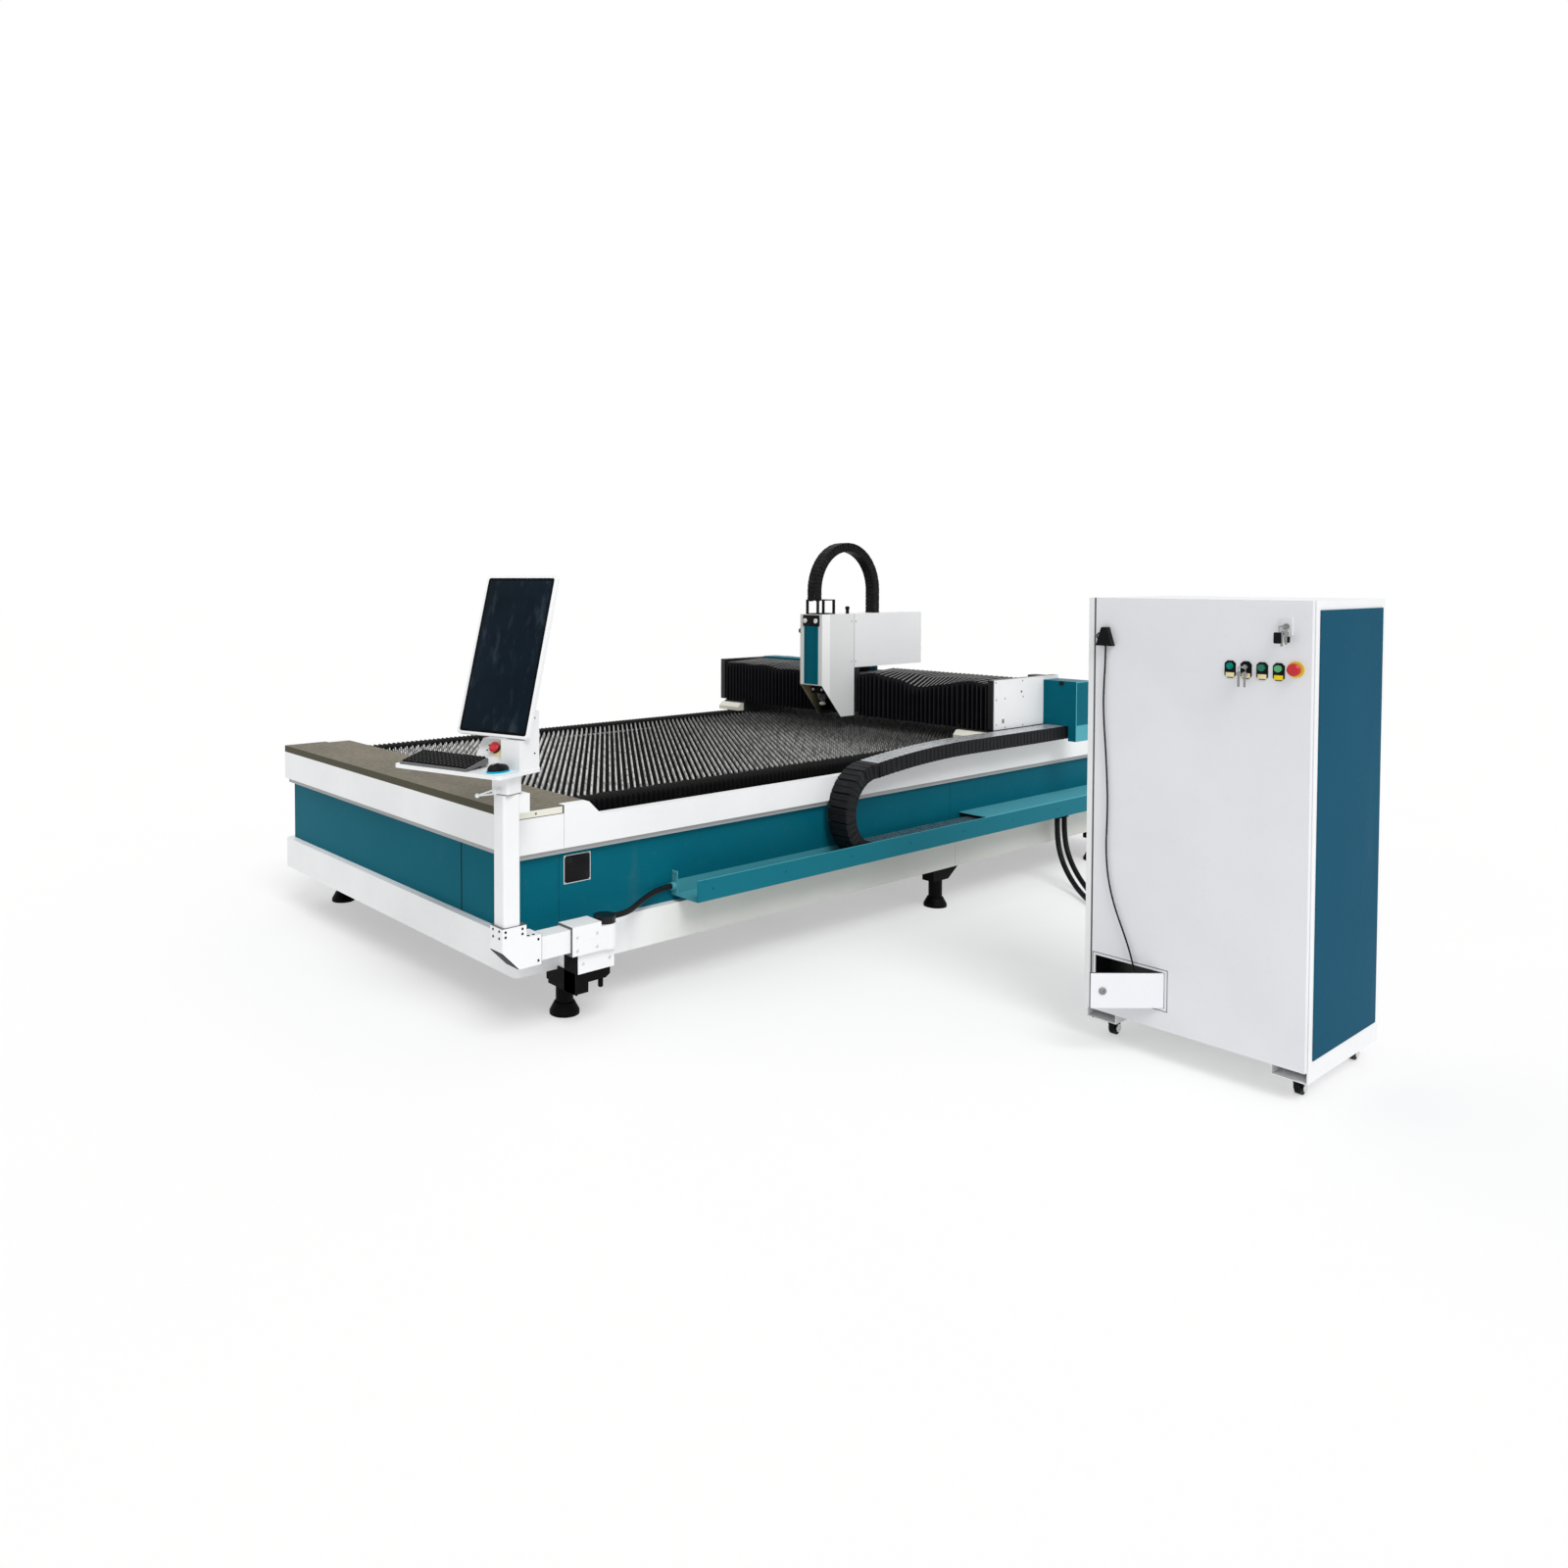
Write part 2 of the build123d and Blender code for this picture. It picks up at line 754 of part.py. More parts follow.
def hung(stations):
    """Lets the front part of a run sag down to the bend."""
    lowered = []
    for x, z in stations:
        share = max(0, chain_sag_x - x) / (chain_sag_x - chain_bend_x)
        lowered.append((x, z - chain_sag * share ** 2))
    return lowered


# X drag chain: fixed run on the tray floor, travelling bend, and run up to the gantry
half = chain_height / 2
chain_mid_z = chain_low_z + chain_bend_radius
lower_run = chain(run(chain_bend_x, chain_fixed_x, chain_low_z, chain_pitch), half,
                  chain_notch, chain_gap, chain_outer_y, chain_inner_y)
save("x_chain_lower_run", lower_run)
upper_run = chain(hung(run(chain_bend_x, chain_moving_x, chain_high_z, chain_pitch)),
                  half, chain_notch, chain_gap, chain_outer_y, chain_inner_y)
save("x_chain_upper_run", upper_run)
bend = chain(bow(chain_bend_x, chain_mid_z, chain_bend_radius, 90, 270, bend_links),
             half - bend_relief, chain_notch, bend_gap, chain_outer_y, chain_inner_y)
save("x_chain_bend", bend)

# Gantry beam, end frames, saddles on bearing blocks, gearmotors behind the beam
save("gantry_beam", tube_y(beam_front, beam_rear, beam_end_gap, beam_left_y, gantry_beam_bottom,
                           gantry_beam_top, gantry_wall))
frame_y0 = beam_end_gap - frame_plate
right_frame = block(gantry_front_x, frame_rear_right, frame_y0, beam_end_gap, frame_bottom, frame_top)
left_frame = other_side(block(gantry_front_x, frame_rear_left, frame_y0, beam_end_gap,
                              frame_bottom, frame_top))

saddle_solids = []
saddle = block(gantry_front_x, saddle_rear, beam_end_gap, inner_right_y, saddle_bottom, gantry_beam_bottom)
saddle -= block(gantry_front_x, gantry_front_x + saddle_recess, beam_end_gap, inner_right_y,
                bellows_bottom - seam, gantry_beam_bottom)
saddle_solids += [saddle, other_side(saddle)]
slot_half = rail_half + slide_gap
for x in (block_front_x, block_rear_x):
    bearing = block(x, x + block_length, rail_y - block_width / 2, rail_y + block_width / 2,
                    block_bottom, saddle_bottom)
    bearing -= block(x, x + block_length, rail_y - slot_half, rail_y + slot_half,
                     block_bottom, beam_top + rail_height + slide_gap)
    saddle_solids += [bearing, other_side(bearing)]
for x, top in ((gantry_front_x - closing_plate, wiper_bottom), (saddle_rear, gantry_beam_bottom)):
    closer = block(x, x + closing_plate, x_bellows_y0, x_bellows_y1, block_bottom, top)
    closer -= block(x, x + closing_plate, rail_y - slot_half, rail_y + slot_half,
                    block_bottom, beam_top + rail_height + slide_gap)
    saddle_solids += [closer, other_side(closer)]

motor_y = beam_end_gap + motor_side / 2 + cover_sheet
gearbox = upright(motor_x, motor_y, gantry_beam_bottom, gantry_beam_bottom + gearbox_height, gearbox_radius)
gearbox &= block(motor_x - motor_side / 2, motor_x + motor_side / 2, motor_y - motor_side / 2,
                 motor_y + motor_side / 2, gantry_beam_bottom, gantry_beam_bottom + gearbox_height)
motor = block(motor_x - motor_side * 0.4, motor_x + motor_side * 0.4, motor_y - motor_side * 0.4,
              motor_y + motor_side * 0.4, gantry_beam_bottom + gearbox_height,
              gantry_beam_bottom + gearbox_height + motor_height)
drive = gearbox + motor
save("saddles", *saddle_solids, drive, other_side(drive))

# Right end plate with its slanted rear edge, left end plate, and chamfered wipers in front of the blocks
plate_outline = [(gantry_front_x, frame_bottom), (end_plate_rear - end_plate_slant, frame_bottom),
                 (end_plate_rear, frame_top), (gantry_front_x, frame_top)]
right_plate = across(plate_outline, frame_y0 - end_plate, frame_y0)
wiper_outline = [(gantry_front_x - wiper_depth, wiper_bottom), (gantry_front_x, wiper_bottom),
                 (gantry_front_x, wiper_top), (gantry_front_x - wiper_chamfer, wiper_top),
                 (gantry_front_x - wiper_depth, wiper_top - wiper_chamfer)]
wiper = across(wiper_outline, beam_end_gap, inner_right_y)
save("gantry_ends", right_frame, left_frame, right_plate, other_side(right_plate), wiper, other_side(wiper))

# Teal chain box: sheet box on the right end frame, open to the frame, with a cheek beside the chain's end
chain_box_x = end_plate_rear + seam
box_hollow = block(chain_box_x + chain_box_sheet, frame_rear_right - chain_box_sheet,
                   chain_box_outer_y + chain_box_sheet, frame_y0, chain_top + chain_box_sheet,
                   chain_box_top - chain_box_sheet)
chain_box = block(chain_box_x, frame_rear_right, chain_box_outer_y, frame_y0, chain_top,
                  chain_box_top) - box_hollow
cheek = block(chain_box_x, frame_rear_right, chain_box_outer_y, chain_box_outer_y + cheek_thickness,
              cheek_bottom, chain_top)
save("chain_box", chain_box + cheek)

# Y rails and rack on the beam's front
y_bars = []
for z, size in ((y_rail_low, y_rail_height), (y_rail_high, y_rail_height), (y_rack_z, y_rail_height)):
    y_bars.append(block(beam_front - y_rail_depth, beam_front, beam_end_gap, beam_left_y, z, z + size))
save("y_rails_and_rack", *y_bars)


def pleated(start, end, pitch, plane_at, outline_at, depth):
    """Bellows between two ends: folds that rise and fall by the pleat depth."""
    count = max(4, round((end - start) / pitch))
    step = (end - start) / count
    folds = []
    for i in range(2 * count + 1):
        drop = 0 if i % 2 else depth
        folds.append(plane_at(start + i * step / 2) * Polygon(*outline_at(drop), align=None))
    return loft(folds, ruled=True)


def angle_outline(drop):
    """Front and top wall of the Y bellows, in X and Z."""
    x, z, t = gantry_front_x + drop, bellows_top - drop, bellows_sheet
    return [(x, bellows_bottom), (x, z), (bellows_rear, z), (bellows_rear, z - t),
            (x + t, z - t), (x + t, bellows_bottom)]


def arch_outline(drop):
    """Sides and top of the X bellows, in Y and Z."""
    y0, y1, z, t = x_bellows_y0 + drop, x_bellows_y1 - drop, x_bellows_top - drop, bellows_sheet
    return [(y0, beam_top), (y0, z), (y1, z), (y1, beam_top), (y1 - t, beam_top),
            (y1 - t, z - t), (y0 + t, z - t), (y0 + t, beam_top)]


def plane_y(y):
    return Plane(origin=(0, y, 0), x_dir=(1, 0, 0), z_dir=(0, -1, 0))


def plane_x(x):
    return Plane(origin=(x, 0, 0), x_dir=(0, 1, 0), z_dir=(1, 0, 0))


save("bellows_right", pleated(beam_end_gap, housing_right - slide_gap, pleat_pitch,
                              plane_y, angle_outline, pleat_depth))
save("bellows_left", pleated(housing_left + slide_gap, beam_left_y, pleat_pitch,
                             plane_y, angle_outline, pleat_depth))
front_cover = pleated(ledge_depth, gantry_front_x - closing_plate - slide_gap, x_pleat_pitch,
                      plane_x, arch_outline, x_pleat_depth)
save("x_bellows_front", front_cover, other_side(front_cover))
rear_cover = pleated(saddle_rear + closing_plate + slide_gap, rail_end_x, x_pleat_pitch,
                     plane_x, arch_outline, x_pleat_depth)
save("x_bellows_rear", rear_cover, other_side(rear_cover))

# Head carriage: plate on four blocks with the Z rail and Z motor, housing, stripe, box over the beam
plate_y0 = housing_right + housing_sheet
plate_y1 = housing_left - housing_sheet
carriage_parts = [block(carriage_front_x, carriage_rear_x, plate_y0, plate_y1,
                        carriage_bottom, rear_box_bottom)]
for z in (y_rail_low, y_rail_high):
    middle = z + y_rail_height / 2
    for y in (plate_y0, plate_y1 - carriage_block_width):
        shoe = block(carriage_rear_x, carriage_block_rear_x, y, y + carriage_block_width,
                     middle - carriage_block_height / 2, middle + carriage_block_height / 2)
        shoe -= block(beam_front - y_rail_depth - slide_gap, carriage_block_rear_x,
                      y, y + carriage_block_width, z - slide_gap, z + y_rail_height + slide_gap)
        carriage_parts.append(shoe)
z_rail_front = carriage_front_x - z_rail_depth
carriage_parts.append(block(z_rail_front, carriage_front_x, head_y - z_rail_width / 2,
                            head_y + z_rail_width / 2, z_rail_bottom, rear_box_bottom))
motor_half = z_motor_side / 2
z_motor = block(carriage_rear_x - z_motor_side, carriage_rear_x, head_y - motor_half,
                head_y + motor_half, rear_box_bottom, rear_box_bottom + z_motor_height)
save("y_carriage", *carriage_parts, z_motor)

housing_outline = [(housing_front_x, housing_slant_top), (housing_foot_x, housing_foot),
                   (housing_rear_x, housing_foot), (housing_rear_x, housing_top),
                   (housing_front_x, housing_top)]
housing = across(housing_outline, housing_right, housing_left)
housing -= block(housing_front_x + housing_sheet, housing_rear_x, plate_y0, plate_y1,
                 housing_foot, housing_top - housing_sheet)
bracket_x0 = housing_front_x + housing_sheet + bracket_gap
bracket_x1 = bracket_x0 + bracket_depth
half_bracket = bracket_width / 2
housing -= block(bracket_x0 - bracket_gap, bracket_x1 + bracket_gap, head_y - half_bracket - bracket_gap,
                 head_y + half_bracket + bracket_gap, housing_top - housing_sheet, housing_top)
save("z_housing", housing)
rear_box = block(housing_rear_x, rear_box_rear_x, housing_right, housing_left, rear_box_bottom, housing_top)
rear_box -= block(housing_rear_x, rear_box_rear_x - rear_box_sheet, housing_right + rear_box_sheet,
                  housing_left - rear_box_sheet, rear_box_bottom, housing_top - rear_box_sheet)
save("rear_box", rear_box)
# Cutting head: slide plate with side cheeks round the Z rail, revolved cutter, bracket up to the arched chain
slide_rear = z_rail_front - z_slide_gap
slide_front = slide_rear - z_slide_thickness
slide_half = z_slide_width / 2
slide = block(slide_front, slide_rear, head_y - slide_half, head_y + slide_half, z_slide_bottom, z_slide_top)
for side in (-1, 1):
    y_in = head_y + side * (z_rail_width / 2 + slide_gap)
    y_out = head_y + side * slide_half
    slide += block(slide_front, carriage_front_x - z_slide_gap, min(y_in, y_out),
                   max(y_in, y_out), z_slide_bottom, z_slide_top)
arm = block(cutter_x, slide_front, head_y - cutter_neck_radius, head_y + cutter_neck_radius,
            z_slide_bottom, z_slide_top)
arm -= upright(cutter_x, head_y, z_slide_bottom, z_slide_top, cutter_radius)

cutter_profile = make_face(Polyline((0, nozzle_bottom), (nozzle_tip_radius, nozzle_bottom),
                                    (nozzle_radius, cutter_neck_bottom),
                                    (cutter_neck_radius, cutter_neck_bottom),
                                    (cutter_radius, cutter_shoulder), (cutter_radius, cutter_top),
                                    (0, cutter_top), close=True))
save("cutting_head", Pos(cutter_x, head_y, 0) * revolve(Plane.XZ * cutter_profile, Axis.Z))

# Black bracket: open frame of bars above the housing, carried on a stalk beside the cutter
bracket = block(bracket_x0, bracket_x1, head_y - half_bracket, head_y + half_bracket,
                housing_top, bracket_top)
bracket -= block(bracket_x0 + bracket_bar, bracket_x1 - bracket_bar, head_y - half_bracket,
                 head_y + half_bracket, housing_top + bracket_plate, bracket_top - bracket_plate)
bracket -= block(bracket_x0, bracket_x1, head_y - half_bracket + bracket_bar,
                 head_y + half_bracket - bracket_bar, housing_top + bracket_plate,
                 bracket_top - bracket_plate)
stalk = block(cutter_x - stalk_width / 2, cutter_x + stalk_width / 2, head_y - stalk_width / 2,
              head_y + stalk_width / 2, cutter_top, housing_top)
save("z_slide", slide + arm, bracket + stalk)

# Arched chain from the bracket over to the box
arch_x = (arch_front_x + arch_rear_x) / 2
arch_radius = (arch_rear_x - arch_front_x) / 2
arch_stations = [(arch_rear_x, housing_top)] + bow(arch_x, arch_leg_z, arch_radius, 0, 180, arch_links)
arch_stations += [(arch_front_x, bracket_top)]
save("arch_chain", chain(arch_stations, arch_height / 2, arch_notch, arch_gap, head_y - arch_width / 2,
                         head_y + arch_width / 2))

# Console: wall bracket with its hinge pin, arm with a knuckle, chamfered elbow and post
foot_block = block(bracket_front_x, bracket_rear_x, -bracket_reach, 0, wall_bracket_bottom, wall_bracket_top)
cap_z = knuckle_top + swing_gap
pin = upright(hinge_x, hinge_y, wall_bracket_top, cap_z, pin_radius)
cap = upright(hinge_x, hinge_y, cap_z, cap_z + cap_height, cap_radius)
cap_mid_z = cap_z + cap_height / 2
boss = level_x(hinge_x, hinge_x + cap_radius + boss_length, hinge_y, cap_mid_z, boss_radius)
save("console_wall_bracket", foot_block + pin + cap + boss)

arm_y0 = hinge_y - arm_width / 2
arm_y1 = hinge_y + arm_width / 2
arm_top = arm_bottom + arm_height
arm_tube = tube_x(elbow_rear_x, joint_front_x, arm_y0, arm_y1, arm_bottom, arm_top, arm_wall)
joint_y0 = hinge_y - joint_width / 2
joint_y1 = hinge_y + joint_width / 2
joint_rear_x = hinge_x - cap_radius - joint_gap
arm_joint = block(joint_front_x, hinge_x, joint_y0, joint_y1, joint_bottom, knuckle_top)
arm_joint += block(joint_front_x, joint_rear_x, joint_y0, joint_y1, knuckle_top, joint_top)
knuckle = upright(hinge_x, hinge_y, wall_bracket_top + swing_gap, knuckle_top, knuckle_radius)
swing_arm = arm_tube + (arm_joint + knuckle)
swing_arm -= upright(hinge_x, hinge_y, wall_bracket_top, knuckle_top, pin_radius + pin_clearance)

elbow_neck_x = post_x + elbow_neck
elbow_outline = [(elbow_rear_x, elbow_bottom), (elbow_rear_x, elbow_shoulder),
                 (elbow_neck_x, elbow_shoulder), (elbow_neck_x, elbow_top),
                 (elbow_front_x, elbow_top), (elbow_front_x, elbow_bottom + elbow_chamfer),
                 (elbow_front_x + elbow_chamfer, elbow_bottom)]
elbow = across(elbow_outline, post_y - elbow_width / 2, post_y + elbow_width / 2)
save("console_arm", swing_arm, elbow)

post_half = post_width / 2
post = block(post_x - post_half, post_x + post_half, post_y - post_half, post_y + post_half,
             elbow_top, post_top)
post = fillet(post.edges().filter_by(Axis.Z), post_corner)
post -= block(post_x - post_half + post_wall, post_x + post_half - post_wall,
              post_y - post_half + post_wall, post_y + post_half - post_wall, elbow_top,
              post_top - post_wall)
spigot = upright(post_x, post_y, post_top - post_wall, post_top + spigot_height, spigot_radius)
post_box_top = post_top - post_wall
post_box = block(post_x + post_half, post_x + post_half + post_box_depth, post_y - post_box_width / 2,
                 post_y + post_box_width / 2, post_box_top - post_box_height, post_box_top)
save("console_post", post + spigot, post_box)


def turned(shape):
    """Puts a console head piece, drawn square to the bed, at its turn about the post."""
    return Pos(post_x, post_y, 0) * Rot(0, 0, head_turn) * Pos(-post_x, -post_y, 0) * shape


# Clamp collar with the tray on top
collar_half = collar_width / 2
collar = block(post_x - collar_half, post_x + collar_half, post_y - collar_half,
               post_y + collar_half, post_top + swing_gap, collar_top)
collar = fillet(collar.edges().filter_by(Axis.Z), post_corner)
collar -= upright(post_x, post_y, post_top, post_top + spigot_height + swing_gap,
                  spigot_radius + collar_bore_gap)
collar -= level_x(post_x - collar_half, post_x - collar_half + lever_pin_length,
                  post_y, lever_z, lever_pin_radius + collar_bore_gap)
desk = block(post_x - tray_front, post_x + tray_back_edge, post_y - tray_right,
             post_y + tray_left, tray_z, tray_top)
desk = fillet(desk.edges().filter_by(Axis.Z), tray_corner)
save("console_tray", turned(collar), turned(desk))

# Clamp lever: pin in the collar with a handle reaching to the left
lever_x0 = post_x - collar_half - swing_gap - lever_hub_length
lever_pin_end = post_x - collar_half + lever_pin_length - swing_gap
lever_pin = level_x(lever_x0, lever_pin_end, post_y, lever_z, lever_pin_radius)
lever_x = lever_x0 + lever_hub_length / 3
lever_arm = level_y(lever_x, post_y, post_y + lever_reach, lever_z, lever_radius)
lever_hub = level_x(lever_x0, lever_x0 + lever_hub_length, post_y, lever_z, lever_hub_radius)
save("clamp_lever", turned(lever_pin + lever_arm + lever_hub))

# Keyboard wedge with rows of keys, mouse on its pad
board_y1 = post_y + tray_left - keyboard_left_gap
board_y0 = board_y1 - keyboard_length
board_x0 = post_x - tray_front + keyboard_front_gap
board_x1 = board_x0 + keyboard_depth
board_outline = [(board_x0, tray_top), (board_x1, tray_top),
                 (board_x1, tray_top + keyboard_height + keyboard_rise),
                 (board_x0, tray_top + keyboard_height)]
keyboard = across(board_outline, board_y0, board_y1)
row_step = keyboard_depth / (key_rows + 1)
for i in range(key_rows):
    x = board_x0 + (i + 0.6) * row_step
    deck = tray_top + keyboard_height + keyboard_rise * (x + row_step * 0.8 - board_x0) / keyboard_depth
    keyboard += block(x, x + row_step * 0.8, board_y0 + row_step * 0.4, board_y1 - row_step * 0.4,
                      tray_top + keyboard_height / 2, deck + keyboard_height / 4)
save("keyboard", turned(keyboard))

pad_y0 = post_y - tray_right + tray_corner / 2
pad_x0 = post_x - tray_front + tray_corner / 2
pad = block(pad_x0, pad_x0 + mouse_pad_length, pad_y0, pad_y0 + mouse_pad_width,
            tray_top, tray_top + mouse_pad_thickness)
mouse_z = tray_top + mouse_pad_thickness
mouse_x = pad_x0 + mouse_pad_length / 2
mouse_y = pad_y0 + mouse_pad_width / 2
mouse_shell = extrude(Plane(origin=(mouse_x, mouse_y, mouse_z)) * SlotOverall(mouse_length, mouse_width),
                      amount=mouse_height)
mouse_shell = chamfer(mouse_shell.faces().sort_by(Axis.Z)[-1].edges(), mouse_height * mouse_crown)
save("mouse", turned(pad), turned(mouse_shell))

# Control box: neck under the screen beside a lower box with a sloped face
slope = math.radians(estop_slope)
lean = math.radians(screen_lean)
neck_x0 = post_x + neck_front
neck_x1 = post_x + neck_back
screen_x = post_x + screen_front
heel_x = screen_x + screen_depth * math.cos(lean)
heel_z = screen_bottom - screen_depth * math.sin(lean)
neck_top = screen_bottom + neck_rise
neck_outline = [(neck_x0, tray_top), (neck_x1, tray_top), (neck_x1, neck_top),
                (heel_x + (neck_top - heel_z) * math.tan(lean), neck_top), (heel_x, heel_z),
                (neck_x0, heel_z)]
neck = across(neck_outline, post_y - neck_right, post_y + neck_left)
estop_top = tray_top + estop_box_height
estop_run = estop_box_height * math.tan(slope)
estop_x0 = post_x + estop_box_front
estop_outline = [(estop_x0, tray_top), (neck_x1, tray_top), (neck_x1, estop_top),
                 (estop_x0 + estop_run, estop_top)]
estop_box = across(estop_outline, post_y + neck_left, post_y + estop_box_left)
estop_y = post_y + neck_left + estop_offset
estop_seat = Plane(origin=(estop_x0 + estop_run * estop_rise, estop_y,
                           tray_top + estop_box_height * estop_rise), x_dir=(0, 1, 0),
                   z_dir=(-math.cos(slope), 0, math.sin(slope)))


def mushroom():
    """Mushroom push button standing on its seat, with its neck in the hole below."""
    grip = make_face(Polyline((0, -estop_sink), (estop_neck_radius, -estop_sink),
                              (estop_neck_radius, estop_height / 2),
                              (estop_head_radius, estop_height * 0.55),
                              (estop_head_radius, estop_height * 0.8),
                              (estop_head_radius * 0.75, estop_height), (0, estop_height), close=True))
    return revolve(Plane.XZ * grip, Axis.Z)


def hole(radius, depth):
    """Round hole below a seat."""
    return Pos(0, 0, -depth / 2) * Cylinder(radius, depth)


estop_depth = estop_sink + estop_travel + estop_hole_gap
estop_box -= estop_seat * hole(estop_neck_radius + estop_hole_gap, estop_depth)
save("console_box", turned(neck), turned(estop_box))
save("console_estop", turned(estop_seat * mushroom()))

# Portrait screen leaning back on the neck, glass set into its front
screen_plane = Pos(screen_x, post_y + screen_centre, screen_bottom) * Rot(0, screen_lean, 0)
frame_body = Pos(screen_depth / 2, 0, screen_height / 2) * Box(screen_depth, screen_width, screen_height)
frame_body = fillet(frame_body.edges().filter_by(Axis.X), screen_corner)
glass_size = (glass_thickness, screen_width - 2 * screen_border, screen_height - 2 * screen_border)
glass = Pos(glass_thickness / 2, 0, screen_height / 2) * Box(*glass_size)
save("monitor_housing", turned(screen_plane * (frame_body - glass)))
save("monitor_screen", turned(screen_plane * glass))

# Cabinet: shell with a front flange, mounting plate inside, channels under the corners
body_front_x = door_back_x + door_gap
shell = block(body_front_x, cabinet_rear_x, cabinet_right_y, cabinet_left_y, cabinet_bottom, cabinet_top)
shell -= block(body_front_x + cabinet_wall, cabinet_rear_x - cabinet_wall, cabinet_right_y + cabinet_wall,
               cabinet_left_y - cabinet_wall, cabinet_bottom + cabinet_wall, cabinet_top - cabinet_wall)
shell -= block(body_front_x, body_front_x + cabinet_wall, cabinet_right_y + stile_width,
               cabinet_left_y - stile_width, cabinet_bottom + stile_width, cabinet_top - stile_width)
stile = block(cabinet_front_x, body_front_x, cabinet_left_y - stile_width, cabinet_left_y,
              cabinet_bottom, cabinet_top)
board_x = cabinet_rear_x - cabinet_wall - plate_gap
mounting_plate = block(board_x, board_x + plate_thickness, cabinet_right_y + plate_gap,
                       cabinet_left_y - plate_gap, cabinet_bottom + plate_gap, cabinet_top - plate_gap)
for z in (cabinet_bottom + 2 * plate_gap, cabinet_top - 3 * plate_gap):
    mounting_plate += block(board_x + plate_thickness, cabinet_rear_x - cabinet_wall,
                            cabinet_right_y + 2 * plate_gap, cabinet_left_y - 2 * plate_gap,
                            z, z + plate_gap)

side_x0 = body_front_x + side_panel_margin
side_x1 = cabinet_rear_x - side_panel_margin
side_z0 = cabinet_bottom + side_panel_margin
side_z1 = cabinet_top - side_panel_margin
sides = [block(side_x0, side_x1, cabinet_left_y, cabinet_left_y + side_panel_thickness, side_z0, side_z1),
         block(side_x0, side_x1, cabinet_right_y - side_panel_thickness, cabinet_right_y,
               side_z0, side_z1)]

channel_bottom = cabinet_bottom - channel_height
channels = []
for y0 in (cabinet_right_y, cabinet_left_y - channel_width):
    channel = tube_x(cabinet_front_x + door_thickness, cabinet_rear_x, y0, y0 + channel_width,
                     channel_bottom, cabinet_bottom, cabinet_wall)
    channels.append(channel)
caster_z = channel_bottom
caster_places = []
for x in (body_front_x + caster_inset_x, cabinet_rear_x - caster_inset_x):
    for y in (cabinet_left_y - caster_inset_y, cabinet_right_y + caster_inset_y):
        caster_places.append((x, y))
drilled = []
for channel in channels:
    for x, y in caster_places:
        channel -= upright(x, y, channel_bottom, channel_bottom + cabinet_wall,
                           caster_stem_radius + axle_clearance)
    drilled.append(channel)
cable_y = cabinet_left_y - cable_offset
glands = []
for i in range(2):
    y = cable_y - i * cable_step_y
    glands.append(level_x(cabinet_rear_x, cabinet_rear_x + cable_gland_length, y,
                          cable_entry_z, cable_gland_radius))
save("cabinet_body", shell + stile, mounting_plate, *sides, *drilled, *glands)

# Casters: fork turning on a stem in the channel, wheel on an axle through the fork
wheel_z = wheel_radius
fork_top = caster_z - swivel_gap
for i, (x, y) in enumerate(caster_places):
    wheel_x = x + swivel_trail
    half_wheel = wheel_width / 2
    wheel = level_y(wheel_x, y - half_wheel, y + half_wheel, wheel_z, wheel_radius)
    wheel -= level_y(wheel_x, y - half_wheel, y + half_wheel, wheel_z, axle_radius + axle_clearance)
    cheek_in = half_wheel + fork_gap
    cheek_out = cheek_in + fork_cheek
    fork = upright(x, y, fork_top - fork_plate, fork_top, swivel_radius)
    fork += upright(x, y, fork_top, caster_z + cabinet_wall + stem_length / 3, caster_stem_radius)
    cheek_outline = [(wheel_x - axle_radius * 2, wheel_z - axle_radius * 2),
                     (wheel_x + axle_radius * 2, wheel_z - axle_radius * 2),
                     (wheel_x + axle_radius * 2, wheel_z), (x + swivel_radius * 0.6, fork_top),
                     (x - swivel_radius * 0.6, fork_top)]
    for side in (-1, 1):
        y_in, y_out = sorted((y + side * cheek_in, y + side * cheek_out))
        fork += across(cheek_outline, y_in, y_out)
    fork += level_y(wheel_x, y - cheek_out, y + cheek_out, wheel_z, axle_radius)
    save(f"caster_fork_{i + 1}", fork)
    save(f"caster_wheel_{i + 1}", wheel)

# Door: folded sheet with returned edges, holes for the controls, recess with a pocket behind
door = block(cabinet_front_x, door_back_x, door_right_y, door_left_y, cabinet_bottom, cabinet_top)
door -= block(cabinet_front_x + cabinet_wall, door_back_x, door_right_y + cabinet_wall,
              door_left_y - cabinet_wall, cabinet_bottom + cabinet_wall, cabinet_top - cabinet_wall)
flap_y1 = door_left_y - flap_left
flap_y0 = flap_y1 - flap_width
flap_top = flap_bottom + flap_height
door -= block(cabinet_front_x, cabinet_front_x + cabinet_wall, flap_y0, flap_y1, flap_bottom, flap_top)
pocket_x0 = cabinet_front_x + cabinet_wall
pocket_x1 = pocket_x0 + pocket_depth
pocket = block(pocket_x0, pocket_x1, flap_y0 - pocket_sheet, flap_y1 + pocket_sheet,
               flap_bottom - pocket_sheet, flap_top + pocket_sheet)
pocket -= block(pocket_x0, pocket_x1 - pocket_sheet, flap_y0, flap_y1, flap_bottom, flap_top)


def door_seat(offset, z):
    """Seat on the door's front, its axis out of the door."""
    return Plane(origin=(cabinet_front_x, door_left_y - offset, z), x_dir=(0, 1, 0), z_dir=(-1, 0, 0))


